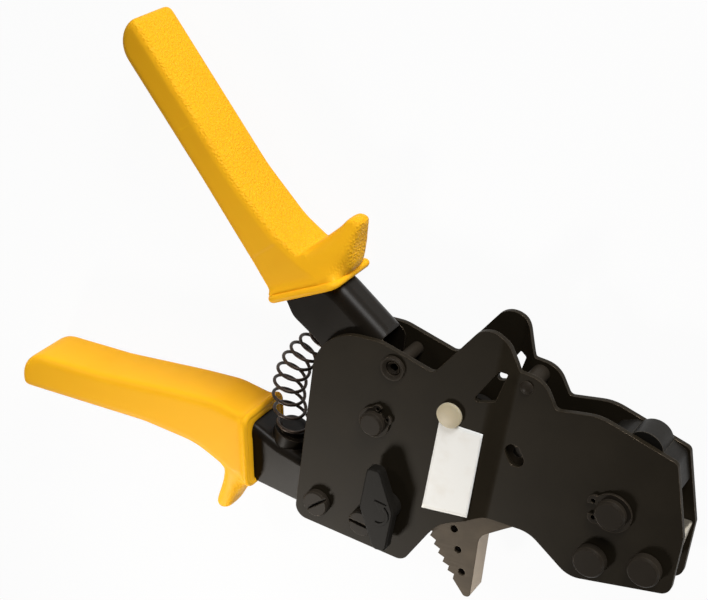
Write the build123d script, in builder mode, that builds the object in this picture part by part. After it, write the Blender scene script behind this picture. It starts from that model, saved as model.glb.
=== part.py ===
"""Ratchet cinch clamp tool for crosslinked polyethylene pipe, in millimetres.

The tool lies on its rear plate. X runs along the fixed handle towards the jaws, Y towards the
moving handle, Z up through the front plate. The origin is on the handle pivot axis, where the
rear head of the pivot meets the surface the tool lies on.
"""
import os
from math import atan2, cos, degrees, hypot, pi, radians, sin, sqrt, tan

from build123d import *

os.makedirs("parts", exist_ok=True)

# Sheet metal body
plate_thickness = 2.0
rear_gap = 17.0
front_gap = 10.5
joggle_run = 6.0
bend_inside = 4.0
pivot_head_height = 2.0
side_clearance = 0.3
running_fit = 0.05
seat_fit = 0.02

# Pins, screws and rivets
pivot_pin_radius = 4.75
jaw_pin_radius = 5.75
circlip_thickness = 1.0
circlip_groove = 0.5
stop_pin_radius = 4.0
stop_head_radius = 6.0
stop_head_height = 3.6
stop_sleeve_radius = 5.4
screw_radius = 2.75
screw_head_radius = 5.25
screw_head_height = 2.7
screw_slot_depth = 1.4
nut_across_flats = 9.0
pawl_pin_radius = 2.5
stop_rivet_radius = 2.5
stop_rivet_bore = 1.5
spacer_rivet_radius = 1.8
spacer_head_radius = 2.6
spacer_sleeve_radius = 3.4

# Handles
handle_wall = 1.4
fixed_fold = 3.0
moving_fold = 6.0
grip_half_width = 12.25
grip_edge = 2.6
grip_bead = 0.8
guard_inset = 0.8
guard_shoulder = 6.0
guard_tip_half = 3.0
guard_nose = 13.0
guard_nose_half = 2.5
spring_wire = 1.3
spring_turns = 12
spring_foot_radius = 6.8
spring_bow_radius = 31.5

# Ratchet and jaws
holding_reach = 9.83
tooth_depth = 1.65
tooth_pitch = 2.757
tooth_steep = 1.0
tooth_count = 21
lowest_tooth = 218.51
jaw_boss_radius = 13.0
pawl_half_width = 4.0
release_shaft_radius = 3.5
holding_hub_radius = 5.5
knob_length = 34.2
knob_width = 14.2
knob_end = 5.4
knob_thickness = 4.0
knob_turn = 4.2
knob_end_round = 2.4
knob_side_round = 5.0
knob_edge = 0.7
knob_hub_radius = 5.4

# Lamp
lens_radius = 4.75
cell_radius = 6.25
cell_thickness = 2.0
battery_tray_wall = 1.5

# Places in plan
handle_pivot = (0.0, 0.0)
jaw_pivot = (91.6, -12.7)
stop_pin_places = [(85.1, -33.7), (105.2, -31.2)]
screw_places = [(-24.4, -41.2), (-4.6, -43.9)]
screw_slot_turns = [36, -10]
release_axis = (6.0, -32.8)
knob_place = (4.4, -32.8)
stop_rivet_place = (7.3, 23.5)
spacer_rivet_place = (57.5, 27.0)
lens_place = (30.3, 10.8)
drive_pawl_place = (-6.0, -12.5)
return_pin_place = (54.6, -0.4)
battery_place = (33.0, 3.0)
tenon_places = [(97.5, 10.0), (106.5, 7.0)]

# Levels that follow from the sizes above
rear_in = rear_gap / 2
rear_out = rear_in + plate_thickness
front_in = front_gap / 2
front_out = front_in + plate_thickness
mid = rear_out + pivot_head_height
lever_half = front_in - side_clearance
moving_half = rear_in - side_clearance
moving_inner = moving_half - handle_wall
spring_radius = moving_inner - side_clearance - spring_wire / 2
tooth_tip_radius = hypot(jaw_pivot[0] - release_axis[0], jaw_pivot[1] - release_axis[1]) - holding_reach
tooth_root_radius = tooth_tip_radius - tooth_depth


def outline(corners):
    """Flat face through corners given as (x, y, corner radius)."""
    with BuildSketch() as face:
        with BuildLine():
            FilletPolyline(*[(x, y) for x, y, r in corners], radius=[r for x, y, r in corners], close=True)
        make_face()
    return face.sketch


def open_line(corners):
    """Open line through corners given as (x, y, corner radius); the end radii are not used."""
    with BuildLine() as path:
        FilletPolyline(*[(x, y) for x, y, r in corners], radius=[r for x, y, r in corners[1:-1]])
    return path.line


def about_jaw(radius, angle):
    """Point in plan at a radius and an angle in degrees about the jaw pivot."""
    return (jaw_pivot[0] + radius * cos(radians(angle)), jaw_pivot[1] + radius * sin(radians(angle)))


def along_handle(along, out):
    """Point in plan from a distance along the moving handle and a distance out from it."""
    return (0.603 * along + 0.798 * out, -0.798 * along + 0.603 * out)


def handle_corner(along, out, radius):
    """Corner of an outline from moving handle distances."""
    return (*along_handle(along, out), radius)


def lengthened(points, by):
    """Corner list of an open line with both ends moved outwards."""
    first = Vector(*points[0][:2]) + (Vector(*points[0][:2]) - Vector(*points[1][:2])).normalized() * by
    last = Vector(*points[-1][:2]) + (Vector(*points[-1][:2]) - Vector(*points[-2][:2])).normalized() * by
    return [(first.X, first.Y, 0)] + points[1:-1] + [(last.X, last.Y, 0)]


def channel_blank(flange, spine, half_width, fold):
    """Solid of a flange outline, rounded along the spine line where the sheet is folded."""
    line = open_line(spine)
    with BuildPart() as body:
        with BuildSketch(Plane.XY.offset(mid - half_width)):
            add(flange)
        extrude(amount=2 * half_width)
        flat = [e for e in body.edges() if abs(abs((e @ 0.5).Z - mid) - half_width) < 1e-4]
        fillet([e for e in flat if line.distance_to(Vector((e @ 0.5).X, (e @ 0.5).Y, 0)) < 0.02], fold)
    return body.part


def folded_channel(flange, spine, half_width, fold):
    """Sheet channel with its web along the spine line and two flanges of one outline."""
    line = open_line(lengthened(spine, handle_wall))
    inner_half = half_width - handle_wall
    with BuildPart() as hollow:
        with BuildSketch(Plane.XY.offset(mid - inner_half)):
            add(flange)
            trace(line, 2 * handle_wall, mode=Mode.SUBTRACT)
        extrude(amount=2 * inner_half)
        flat = [e for e in hollow.edges() if abs(abs((e @ 0.5).Z - mid) - inner_half) < 1e-4]
        depths = [line.distance_to(Vector((e @ 0.5).X, (e @ 0.5).Y, 0)) for e in flat]
        fillet([e for e, depth in zip(flat, depths) if abs(depth - handle_wall) < 0.02], fold - handle_wall)
    with BuildPart() as body:
        add(channel_blank(flange, spine, half_width, fold))
        add(hollow.part, mode=Mode.SUBTRACT)
    return body.part


def wedge(plane, shoulder, wide, end, narrow):
    """Slab that is wide up to a shoulder along the plane's x and narrows from there to its end."""
    with BuildPart() as slab:
        with BuildSketch(plane):
            add(outline([
                (-30.0, wide, 0),
                (shoulder, wide, wide - 1.0),
                (end, narrow, narrow - 0.2),
                (end, -narrow, narrow - 0.2),
                (shoulder, -wide, wide - 1.0),
                (-30.0, -wide, 0),
            ]))
        extrude(amount=60, both=True)
    return slab.part


def moulded(body, guard, guard_line, bead):
    """Grip from a body outline that starts and ends at its collar, a tapered guard and a collar bead."""
    with BuildPart() as grip:
        with BuildSketch(Plane.XY.offset(mid - grip_half_width)):
            add(outline(body))
        extrude(amount=2 * grip_half_width)
        collar = Edge.make_line((*body[0][:2], 0), (*body[-1][:2], 0))
        rims = [e for e in grip.edges() if abs(abs((e @ 0.5).Z - mid) - grip_half_width) < 1e-4]
        fillet([e for e in rims if collar.distance_to(Vector((e @ 0.5).X, (e @ 0.5).Y, 0)) > 0.1], grip_edge)
    root = Vector(*guard_line[0], mid)
    reach = Vector(*guard_line[1], mid) - root
    forward = reach.cross(Vector(0, 0, 1)).normalized()
    if forward.dot(Vector(body[0][0] + body[-1][0], body[0][1] + body[-1][1], 2 * mid) - root * 2) < 0:
        forward = forward * -1
    guard_half = grip_half_width - guard_inset
    along_reach = Plane(origin=root, x_dir=reach, z_dir=forward)
    along_nose = Plane(origin=root, x_dir=forward, z_dir=reach)
    with BuildPart() as wing:
        with BuildSketch(Plane.XY.offset(mid - grip_half_width)):
            add(outline(guard))
        extrude(amount=2 * grip_half_width)
        slab = wedge(along_reach, guard_shoulder, guard_half, reach.length + 1.5, guard_tip_half)
        add(slab, mode=Mode.INTERSECT)
        add(wedge(along_nose, 0, guard_half, guard_nose, guard_nose_half), mode=Mode.INTERSECT)
    with BuildPart() as rim:
        with BuildSketch(Plane.XY.offset(mid - grip_half_width - grip_bead)):
            add(outline(bead))
        extrude(amount=2 * (grip_half_width + grip_bead))
        ends = [e for e in rim.edges() if abs(abs((e @ 0.5).Z - mid) - grip_half_width - grip_bead) < 1e-4]
        fillet(ends, 0.9 * grip_bead)
    with BuildPart() as whole:
        add(grip.part)
        add(wing.part)
        add(rim.part)
    return whole.part


def drilled(places, radius, bottom, top):
    """Round bars from one level to another, to add or to cut with."""
    with BuildPart() as bars:
        with BuildSketch(Plane.XY.offset(bottom)):
            with Locations(*places):
                Circle(radius)
        extrude(amount=top - bottom)
    return bars.part


def turned(place, corners):
    """Solid of revolution about Z at a place in plan, from (radius, level) corners."""
    with BuildPart() as body:
        with BuildSketch(Plane(origin=(place[0], place[1], 0), x_dir=(1, 0, 0), z_dir=(0, -1, 0))):
            Polygon(*corners, align=None)
        revolve(axis=Axis((place[0], place[1], 0), (0, 0, 1)))
    return body.part


def domed(place, radius, base, rise):
    """Spherical cap on a level, standing up or hanging down by its rise."""
    bulge = (radius ** 2 + rise ** 2) / (2 * abs(rise))
    half = atan2(radius, bulge - abs(rise)) / 2
    way = 1 if rise > 0 else -1
    halfway = (bulge * sin(half), base + rise - way * bulge * (1 - cos(half)))
    with BuildPart() as body:
        with BuildSketch(Plane(origin=(place[0], place[1], 0), x_dir=(1, 0, 0), z_dir=(0, -1, 0))):
            with BuildLine():
                Polyline((0, base + rise), (0, base), (radius, base))
                ThreePointArc((radius, base), halfway, (0, base + rise))
            make_face()
        revolve(axis=Axis((place[0], place[1], 0), (0, 0, 1)))
    return body.part


def circlip(place, groove_radius, opening, level):
    """Open retaining ring with two eyed ends; opening is the angle its gap faces."""
    ring_width = 0.42 * groove_radius
    eye = groove_radius + 0.8 * ring_width
    with BuildPart() as ring:
        with BuildSketch(Plane.XY.offset(level)):
            with Locations(Location((place[0], place[1], 0), (0, 0, opening))):
                Circle(groove_radius + ring_width)
                with PolarLocations(eye, 2, start_angle=-26, angular_range=52, endpoint=True):
                    Circle(1.15 * ring_width)
                Circle(groove_radius + seat_fit, mode=Mode.SUBTRACT)
                with Locations((eye + ring_width, 0)):
                    Rectangle(2 * eye, 0.62 * eye, mode=Mode.SUBTRACT)
                eye_circle = eye + 0.2 * ring_width
                with PolarLocations(eye_circle, 2, start_angle=-26, angular_range=52, endpoint=True):
                    Circle(0.4 * ring_width, mode=Mode.SUBTRACT)
        extrude(amount=circlip_thickness)
    return ring.part


def biarc(start, start_way, end, end_way):
    """Joint of the two arcs that run from one point and direction to another, and the second way."""
    reach = end - start
    ways = start_way + end_way
    spread = 2 * (1 - start_way.dot(end_way))
    dot = reach.dot(ways)
    arm = (sqrt(dot * dot + spread * reach.dot(reach)) - dot) / spread
    joint = (start + start_way * arm + end - end_way * arm) * 0.5
    return joint, (end - end_way * arm - start - start_way * arm).normalized()


def wound_wire(point, steps, wire):
    """Round wire along point(t), t from 0 to 1, with a short straight length at each end."""
    places = [point(i / steps) for i in range(steps + 1)]
    nudge = 1e-4 / steps
    ways = [(point(i / steps + nudge) - point(i / steps - nudge)).normalized() for i in range(steps + 1)]
    with BuildPart() as tube:
        with BuildLine() as path:
            Line(places[0] - ways[0] * wire, places[0])
            for i in range(steps):
                joint, way = biarc(places[i], ways[i], places[i + 1], ways[i + 1])
                TangentArc(places[i], joint, tangent=ways[i])
                TangentArc(joint, places[i + 1], tangent=way)
            Line(places[-1], places[-1] + ways[-1] * wire)
        with BuildSketch(Plane(origin=path.line @ 0, z_dir=path.line % 0)):
            Circle(wire / 2)
        sweep()
    return tube.part


def least_gap(point, turns, wire):
    """Least gap of a coil to itself, measured on points half a turn or more apart along the wire."""
    steps = 24 * turns
    places = [point(i / steps) for i in range(steps + 1)]
    reach = [(a, b) for a in range(steps + 1) for b in range(a + 12, min(a + 37, steps + 1))]
    return min((places[a] - places[b]).length for a, b in reach) - wire


# Side plates: one joggled blank, drilled for everything that crosses both
joggle_place = (45.6, 0.5)
joggle_across = (0.9857, -0.1683)
joggle_lean = degrees(atan2(rear_in - front_in, joggle_run))
joggle_shift = plate_thickness * tan(radians(joggle_lean / 2))
joggle_half = joggle_run / 2
plate_corners = [
    (-34.9, -49.75, 5.0),
    (-23.7, 32.8, 19.5),
    (2.0, 32.5, 15.0),
    (23.3, 25.4, 3.0),
    (47.8, 54.5, 7.6),
    (54.8, 32.3, 1.0),
    (63.8, 31.0, 9.0),
    (68.7, 20.9, 2.0),
    (84.5, 22.7, 18.0),
    (113.2, 12.3, 2.5),
    (117.4, -15.6, 1.5),
    (114.4, -39.2, 4.5),
    (76.8, -43.9, 10.0),
    (61.0, -30.4, 12.0),
    (42.0, -29.3, 15.0),
    (26.0, -36.0, 15.0),
    (12.2, -56.1, 5.0),
]
hanging_hole = [(38.0, 17.9, 1.2), (48.4, 32.4, 0.8), (51.2, 31.2, 0.6), (47.2, 20.0, 0.8)]

with BuildPart() as plate_blank:
    with BuildSketch(Plane(
        origin=(joggle_place[0], joggle_place[1], mid),
        x_dir=(joggle_across[0], joggle_across[1], 0),
        z_dir=(joggle_across[1], -joggle_across[0], 0),
    )):
        add(outline([
            (-150, rear_in, 0),
            (-joggle_half - joggle_shift / 2, rear_in, bend_inside),
            (joggle_half - joggle_shift / 2, front_in, bend_inside + plate_thickness),
            (150, front_in, 0),
            (150, front_out, 0),
            (joggle_half + joggle_shift / 2, front_out, bend_inside),
            (-joggle_half + joggle_shift / 2, rear_out, bend_inside + plate_thickness),
            (-150, rear_out, 0),
        ]))
    extrude(amount=120, both=True)
    with BuildSketch(Plane.XY.offset(mid)):
        add(outline(plate_corners))
        add(outline(hanging_hole), mode=Mode.SUBTRACT)
        with Locations(handle_pivot):
            Circle(pivot_pin_radius + seat_fit, mode=Mode.SUBTRACT)
        with Locations(jaw_pivot):
            Circle(jaw_pin_radius + seat_fit, mode=Mode.SUBTRACT)
        with Locations(*stop_pin_places):
            Circle(stop_pin_radius + seat_fit, mode=Mode.SUBTRACT)
        with Locations(*screw_places):
            Circle(screw_radius + seat_fit, mode=Mode.SUBTRACT)
        with Locations(release_axis):
            Circle(release_shaft_radius + running_fit, mode=Mode.SUBTRACT)
        with Locations(stop_rivet_place):
            Circle(stop_rivet_radius + seat_fit, mode=Mode.SUBTRACT)
        with Locations(spacer_rivet_place):
            Circle(spacer_rivet_radius + seat_fit, mode=Mode.SUBTRACT)
    extrude(amount=30, mode=Mode.INTERSECT)
    add(drilled(tenon_places, 3.0 + seat_fit, mid, mid + front_in + plate_thickness / 2), mode=Mode.SUBTRACT)

with BuildPart() as front_side_plate:
    add(plate_blank.part)
    add(drilled([lens_place], lens_radius - 0.6 + seat_fit, mid, mid + 30), mode=Mode.SUBTRACT)
    with BuildSketch(Plane.XY.offset(mid)):
        with Locations(Location((54.1, -0.8, 0), (0, 0, -62))):
            SlotOverall(9.0, 6.2)
    extrude(amount=30, mode=Mode.SUBTRACT)
front_side_plate.part.label = "front_side_plate"
export_step(front_side_plate.part, "parts/front_side_plate.step")

battery_tray_radius = cell_radius + 0.3 + battery_tray_wall
with BuildPart() as rear_side_plate:
    mirror(plate_blank.part, about=Plane.XY.offset(mid))
    add(drilled([battery_place], battery_tray_radius + seat_fit, -5, mid), mode=Mode.SUBTRACT)
rear_side_plate.part.label = "rear_side_plate"
export_step(rear_side_plate.part, "parts/rear_side_plate.step")

# Fixed handle: folded channel between the plates, and its moulded grip
fixed_spine = [
    (-159.0, -13.2, 0),
    (-56.0, -16.3, 12.0),
    (-43.3, -23.3, 12.0),
    (-32.9, -26.5, 25.0),
    (-1.5, -36.1, 0),
]
fixed_flange = fixed_spine + [
    (-0.5, -49.8, 2.0),
    (-35.0, -44.8, 60.0),
    (-54.4, -41.1, 20.0),
    (-66.0, -35.5, 15.0),
    (-84.0, -27.6, 25.0),
    (-104.0, -25.2, 40.0),
    (-158.5, -24.6, 2.0),
]
spring_foot = Vector(-40.4, -17.7, mid)
bow_from = radians(203)
bow_centre = spring_foot - Vector(cos(bow_from), sin(bow_from), 0) * spring_bow_radius
seat_normal = Vector(0.35, 0.937, 0)
web_depth = 7.4
seat_top = web_depth - spring_wire - 2 * side_clearance
with BuildPart() as fixed_handle_channel:
    add(folded_channel(outline(fixed_flange), fixed_spine, rear_in, fixed_fold))
    with BuildSketch(Plane(origin=spring_foot - seat_normal * web_depth, z_dir=seat_normal)):
        Circle(spring_foot_radius + spring_wire / 2)
    extrude(amount=seat_top)
    with BuildSketch(Plane(origin=spring_foot - seat_normal * web_depth, z_dir=seat_normal)):
        Circle(spring_foot_radius - spring_wire / 2 - 2 * side_clearance)
    extrude(amount=seat_top + 2.4)
    add(drilled(screw_places, screw_radius + seat_fit, 0, 2 * mid), mode=Mode.SUBTRACT)
fixed_handle_channel.part.label = "fixed_handle_channel"
export_step(fixed_handle_channel.part, "parts/fixed_handle_channel.step")

fixed_grip_corners = [
    (-53.4, -41.0, 0),
    (-58.5, -42.8, 6.0),
    (-69.0, -36.6, 12.0),
    (-80.0, -31.0, 30.0),
    (-104.0, -27.8, 50.0),
    (-164.9, -26.4, 2.5),
    (-164.5, -10.6, 11.0),
    (-125.0, -11.6, 80.0),
    (-88.6, -9.9, 60.0),
    (-71.0, -9.7, 20.0),
    (-54.2, -13.4, 0),
]
fixed_guard_corners = [
    (-55.6, -38.0, 0),
    (-56.8, -44.4, 3.0),
    (-63.8, -50.8, 8.0),
    (-69.2, -61.0, 5.0),
    (-75.0, -63.4, 1.8),
    (-76.2, -59.6, 2.5),
    (-67.2, -40.2, 6.0),
    (-68.0, -33.0, 0),
]
fixed_guard_line = [(-61.0, -37.0), (-74.6, -63.2)]
fixed_bead_corners = [
    (-57.6, -12.1, 1.0),
    (-54.2, -12.6, 1.0),
    (-53.3, -41.9, 1.0),
    (-56.7, -42.6, 1.0),
]
with BuildPart() as fixed_handle_grip:
    add(moulded(fixed_grip_corners, fixed_guard_corners, fixed_guard_line, fixed_bead_corners))
    pocket = channel_blank(outline(fixed_flange), fixed_spine, rear_in + seat_fit, fixed_fold)
    add(pocket, mode=Mode.SUBTRACT)
fixed_handle_grip.part.label = "fixed_handle_grip"
export_step(fixed_handle_grip.part, "parts/fixed_handle_grip.step")

# Screws that hold the fixed handle, and their nuts behind
with BuildPart() as handle_screws:
    add(drilled(screw_places, screw_radius, 0.2, mid + rear_out))
    add(drilled(screw_places, screw_head_radius, mid + rear_out, mid + rear_out + screw_head_height))
    chamfer(handle_screws.faces().sort_by(Axis.Z)[-2:].edges(), 0.5)
    with BuildSketch(Plane.XY.offset(mid + rear_out + screw_head_height - screw_slot_depth)):
        turns = zip(screw_places, screw_slot_turns)
        with Locations(*[Location((*place, 0), (0, 0, turn)) for place, turn in turns]):
            Rectangle(3 * screw_head_radius, 1.4)
    extrude(amount=3, mode=Mode.SUBTRACT)
handle_screws.part.label = "handle_screws"
export_step(handle_screws.part, "parts/handle_screws.step")

with BuildPart() as handle_screw_nuts:
    with BuildSketch():
        with Locations(*screw_places):
            RegularPolygon(nut_across_flats / 2, 6, major_radius=False)
            Circle(screw_radius + seat_fit, mode=Mode.SUBTRACT)
    extrude(amount=pivot_head_height)
handle_screw_nuts.part.label = "handle_screw_nuts"
export_step(handle_screw_nuts.part, "parts/handle_screw_nuts.step")

# Moving handle: folded channel turning on the pivot, and its moulded grip
moving_spine = [
    handle_corner(-164, 2.8, 0),
    handle_corner(-88, 3.2, 40.0),
    handle_corner(-68.5, 7.0, 30.0),
    (-16.4, 49.0, 30.0),
    (1.2, 34.37, 0),
]
moving_flange = moving_spine + [
    (3.2, 28.4, 3.0),
    (2.2, 19.0, 6.0),
    (7.0, 6.0, 2.0),
    (-9.0, 5.0, 2.0),
    (-22.6, 22.0, 3.0),
    (-24.9, 25.6, 8.0),
    (-35.6, 33.4, 8.0),
    handle_corner(-57, -6.4, 3.0),
    handle_corner(-163.5, -6.4, 2.0),
]
with BuildSketch() as moving_outline:
    add(outline(moving_flange))
    with Locations(handle_pivot):
        Circle(11.5)
    with Locations(drive_pawl_place):
        Circle(5.0)
    add(outline([(-11.2, -2.0, 0), (-11.0, -12.6, 0), (-1.2, -14.0, 0), (10.0, -5.0, 0)]))
with BuildPart() as moving_handle_channel:
    add(folded_channel(moving_outline.sketch, moving_spine, moving_half, moving_fold))
    add(drilled([handle_pivot], pivot_pin_radius + running_fit, 0, 2 * mid), mode=Mode.SUBTRACT)
    add(drilled([drive_pawl_place], pawl_pin_radius + seat_fit, 0, 2 * mid), mode=Mode.SUBTRACT)
moving_handle_channel.part.label = "moving_handle_channel"
export_step(moving_handle_channel.part, "parts/moving_handle_channel.step")

moving_grip_corners = [
    handle_corner(-57.8, -9.6, 0),
    handle_corner(-72, -9.0, 30.0),
    handle_corner(-110, -8.4, 80.0),
    handle_corner(-168.0, -8.6, 11.0),
    handle_corner(-169.2, 4.6, 2.5),
    handle_corner(-100, 4.8, 80.0),
    handle_corner(-77, 7.4, 30.0),
    handle_corner(-64, 11.6, 12.0),
    handle_corner(-50.4, 18.8, 0),
]
moving_guard_corners = [
    handle_corner(-60, 8, 0),
    handle_corner(-62.4, 17.0, 6.0),
    handle_corner(-68.6, 32.8, 2.5),
    handle_corner(-64.8, 37.2, 1.8),
    handle_corner(-58.0, 28.6, 10.0),
    handle_corner(-50.8, 23.2, 2.0),
    handle_corner(-53, 12, 0),
]
moving_guard_line = [along_handle(-58, 12), along_handle(-66.4, 37.2)]
moving_bead_corners = [
    handle_corner(-57.9, -10.2, 1.0),
    handle_corner(-60.5, -9.5, 1.0),
    handle_corner(-52.8, 20.0, 1.0),
    handle_corner(-50.2, 19.3, 1.0),
]
with BuildPart() as moving_handle_grip:
    add(moulded(moving_grip_corners, moving_guard_corners, moving_guard_line, moving_bead_corners))
    pocket = channel_blank(moving_outline.sketch, moving_spine, moving_half + seat_fit, moving_fold)
    add(pocket, mode=Mode.SUBTRACT)
moving_handle_grip.part.label = "moving_handle_grip"
export_step(moving_handle_grip.part, "parts/moving_handle_grip.step")

# Handle pivot, headed behind and held by a retaining ring in front
with BuildPart() as handle_pivot_pin:
    add(drilled([handle_pivot], pivot_pin_radius + 2.4, 0, pivot_head_height))
    add(drilled([handle_pivot], pivot_pin_radius, pivot_head_height, mid + rear_out + 3.6))
    chamfer(handle_pivot_pin.faces().sort_by(Axis.Z)[-1].edges(), 0.8)
    with BuildSketch(Plane.XY.offset(mid + rear_out)):
        with Locations(handle_pivot):
            Circle(2 * pivot_pin_radius)
            Circle(pivot_pin_radius - circlip_groove, mode=Mode.SUBTRACT)
    extrude(amount=circlip_thickness + 0.1, mode=Mode.SUBTRACT)
handle_pivot_pin.part.label = "handle_pivot_pin"
export_step(handle_pivot_pin.part, "parts/handle_pivot_pin.step")

with BuildPart() as handle_pivot_circlip:
    add(circlip(handle_pivot, pivot_pin_radius - circlip_groove, 48, mid + rear_out))
handle_pivot_circlip.part.label = "handle_pivot_circlip"
export_step(handle_pivot_circlip.part, "parts/handle_pivot_circlip.step")

# Handle spring: a bowed coil from the fixed web up into the moving channel
bow_to = radians(127)
bow_length = spring_bow_radius * (bow_from - bow_to)
straight_way = Vector(0.76, 0.65, 0)
bow_end = bow_centre + Vector(cos(bow_to), sin(bow_to), 0) * spring_bow_radius
spine_normal = Vector(0.639, 0.769, 0)
spine_reach = spine_normal.dot(Vector(-16.4, 49.0, 0)) - handle_wall - 0.62 * moving_fold
straight_length = (spine_reach - spine_normal.dot(bow_end)) / spine_normal.dot(straight_way)


def spring_axis(t):
    """Point of the spring's bowed centre line."""
    run = t * (bow_length + straight_length)
    if run < bow_length:
        angle = bow_from - run / spring_bow_radius
        return bow_centre + Vector(cos(angle), sin(angle), 0) * spring_bow_radius
    return bow_end + straight_way * (run - bow_length)


def spring_point(t):
    """Point of the spring's wire: rings that turn from square to the web to square to the spine."""
    facing = radians(69.5 - 19.2 * t)
    radius = spring_radius + (spring_foot_radius - spring_radius) * max(0.0, 1 - t / 0.45)
    turn = 2 * pi * spring_turns * t
    side = Vector(-sin(facing), cos(facing), 0)
    return spring_axis(t) + side * (radius * cos(turn)) + Vector(0, 0, radius * sin(turn))


with BuildPart() as handle_spring:
    add(wound_wire(spring_point, 2 * spring_turns, spring_wire))
print(f"handle_spring least gap {least_gap(spring_point, spring_turns, spring_wire):.2f} mm")
handle_spring.part.label = "handle_spring"
export_step(handle_spring.part, "parts/handle_spring.step")

# Jaw lever: toothed sector, arm, boss and lower jaw in one plate
highest_tooth = lowest_tooth - (tooth_count - 1) * tooth_pitch
sector_top = highest_tooth - tooth_steep - 1.6
teeth = [about_jaw(63.0, sector_top), about_jaw(tooth_tip_radius - 0.2, sector_top)]
for k in range(tooth_count):
    teeth.append(about_jaw(tooth_root_radius, highest_tooth + k * tooth_pitch - tooth_steep))
    teeth.append(about_jaw(tooth_tip_radius, highest_tooth + k * tooth_pitch))
lever_rim = [
    (*teeth[-1], 0),
    (*about_jaw(tooth_tip_radius + 0.68, lowest_tooth + 5.77), 1.6),
    (*about_jaw(tooth_tip_radius - 1.45, lowest_tooth + 6.81), 1.6),
    (40.7, -39.6, 6.0),
    (50.8, -33.3, 20.0),
    (71.0, -21.5, 10.0),
    (84.5, -22.5, 4.0),
    (96.5, -23.8, 3.0),
    (103.0, -27.4, 0.5),
    (113.6, -27.6, 1.5),
    (116.7, -15.3, 0.8),
    (104.0, -14.7, 0.5),
    (88.0, -6.0, 1.0),
    (62.0, 4.0, 8.0),
    (51.0, 6.0, 4.0),
    (44.0, -4.5, 8.0),
    (*about_jaw(63.0, 178), 4.0),
    (*about_jaw(62.6, 169), 8.0),
    (*teeth[0], 0),
]
with BuildPart() as jaw_lever:
    with BuildSketch(Plane.XY.offset(mid - lever_half)):
        with BuildLine():
            Polyline(*teeth)
            FilletPolyline(*[(x, y) for x, y, r in lever_rim], radius=[r for x, y, r in lever_rim[1:-1]])
        make_face()
        with Locations(jaw_pivot):
            Circle(jaw_boss_radius)
            Circle(jaw_pin_radius + running_fit, mode=Mode.SUBTRACT)
        with Locations(stop_pin_places[1]):
            Circle(stop_sleeve_radius + side_clearance, mode=Mode.SUBTRACT)
        with Locations((30.5, -39.5), (32.2, -48.1), (34.0, -57.3)):
            Circle(1.5, mode=Mode.SUBTRACT)
        with Locations(return_pin_place):
            Circle(2.0 + seat_fit, mode=Mode.SUBTRACT)
    extrude(amount=2 * lever_half)
jaw_lever.part.label = "jaw_lever"
export_step(jaw_lever.part, "parts/jaw_lever.step")

with BuildPart() as return_spring_pin:
    add(drilled([return_pin_place], 2.0, mid - lever_half, mid + lever_half))
return_spring_pin.part.label = "return_spring_pin"
export_step(return_spring_pin.part, "parts/return_spring_pin.step")

# Jaw pivot, headed behind and held by a retaining ring in front
with BuildPart() as jaw_pivot_pin:
    add(drilled([jaw_pivot], jaw_pin_radius + 2.4, 0, mid - front_out))
    chamfer(jaw_pivot_pin.faces().sort_by(Axis.Z)[0].edges(), 0.8)
    add(drilled([jaw_pivot], jaw_pin_radius, mid - front_out, mid + front_out + 3.6))
    chamfer(jaw_pivot_pin.faces().sort_by(Axis.Z)[-1].edges(), 0.8)
    with BuildSketch(Plane.XY.offset(mid + front_out)):
        with Locations(jaw_pivot):
            Circle(2 * jaw_pin_radius)
            Circle(jaw_pin_radius - circlip_groove, mode=Mode.SUBTRACT)
    extrude(amount=circlip_thickness + 0.1, mode=Mode.SUBTRACT)
jaw_pivot_pin.part.label = "jaw_pivot_pin"
export_step(jaw_pivot_pin.part, "parts/jaw_pivot_pin.step")

with BuildPart() as jaw_pivot_circlip:
    add(circlip(jaw_pivot, jaw_pin_radius - circlip_groove, 182, mid + front_out))
jaw_pivot_circlip.part.label = "jaw_pivot_circlip"
export_step(jaw_pivot_circlip.part, "parts/jaw_pivot_circlip.step")

# Upper jaw, let into the plates by round tenons
upper_jaw_corners = [
    (114.1, 0.5, 0.8),
    (112.3, 11.2, 2.5),
    (104.0, 16.0, 4.0),
    (94.0, 18.6, 4.0),
    (86.5, 16.0, 4.0),
    (86.5, 2.0, 0.5),
    (103.0, -2.0, 0.5),
    (106.0, 0.3, 3.0),
]
with BuildPart() as fixed_jaw:
    with BuildSketch(Plane.XY.offset(mid - front_in)):
        add(outline(upper_jaw_corners))
        with Locations((100.5, 13.5)):
            Circle(6.8)
        with Locations(jaw_pivot):
            Circle(jaw_boss_radius + 0.4, mode=Mode.SUBTRACT)
    extrude(amount=2 * front_in)
    tenon_reach = front_in + plate_thickness / 2
    add(drilled(tenon_places, 3.0, mid - tenon_reach, mid + tenon_reach))
fixed_jaw.part.label = "fixed_jaw"
export_step(fixed_jaw.part, "parts/fixed_jaw.step")

# Stop pins below the jaws, with sleeves that keep the plates apart
with BuildPart() as stop_pins:
    add(drilled(stop_pin_places, stop_pin_radius, mid - front_out - 2.6, mid + front_out))
    add(drilled(stop_pin_places, stop_head_radius, mid + front_out, mid + front_out + stop_head_height))
    chamfer(stop_pins.faces().sort_by(Axis.Z)[-2:].edges(), 0.7)
    with BuildSketch(Plane.XY.offset(mid - front_out - circlip_thickness - 0.1)):
        with Locations(*stop_pin_places):
            Circle(2 * stop_pin_radius)
            Circle(stop_pin_radius - circlip_groove, mode=Mode.SUBTRACT)
    extrude(amount=circlip_thickness + 0.1, mode=Mode.SUBTRACT)
stop_pins.part.label = "stop_pins"
export_step(stop_pins.part, "parts/stop_pins.step")

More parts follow.
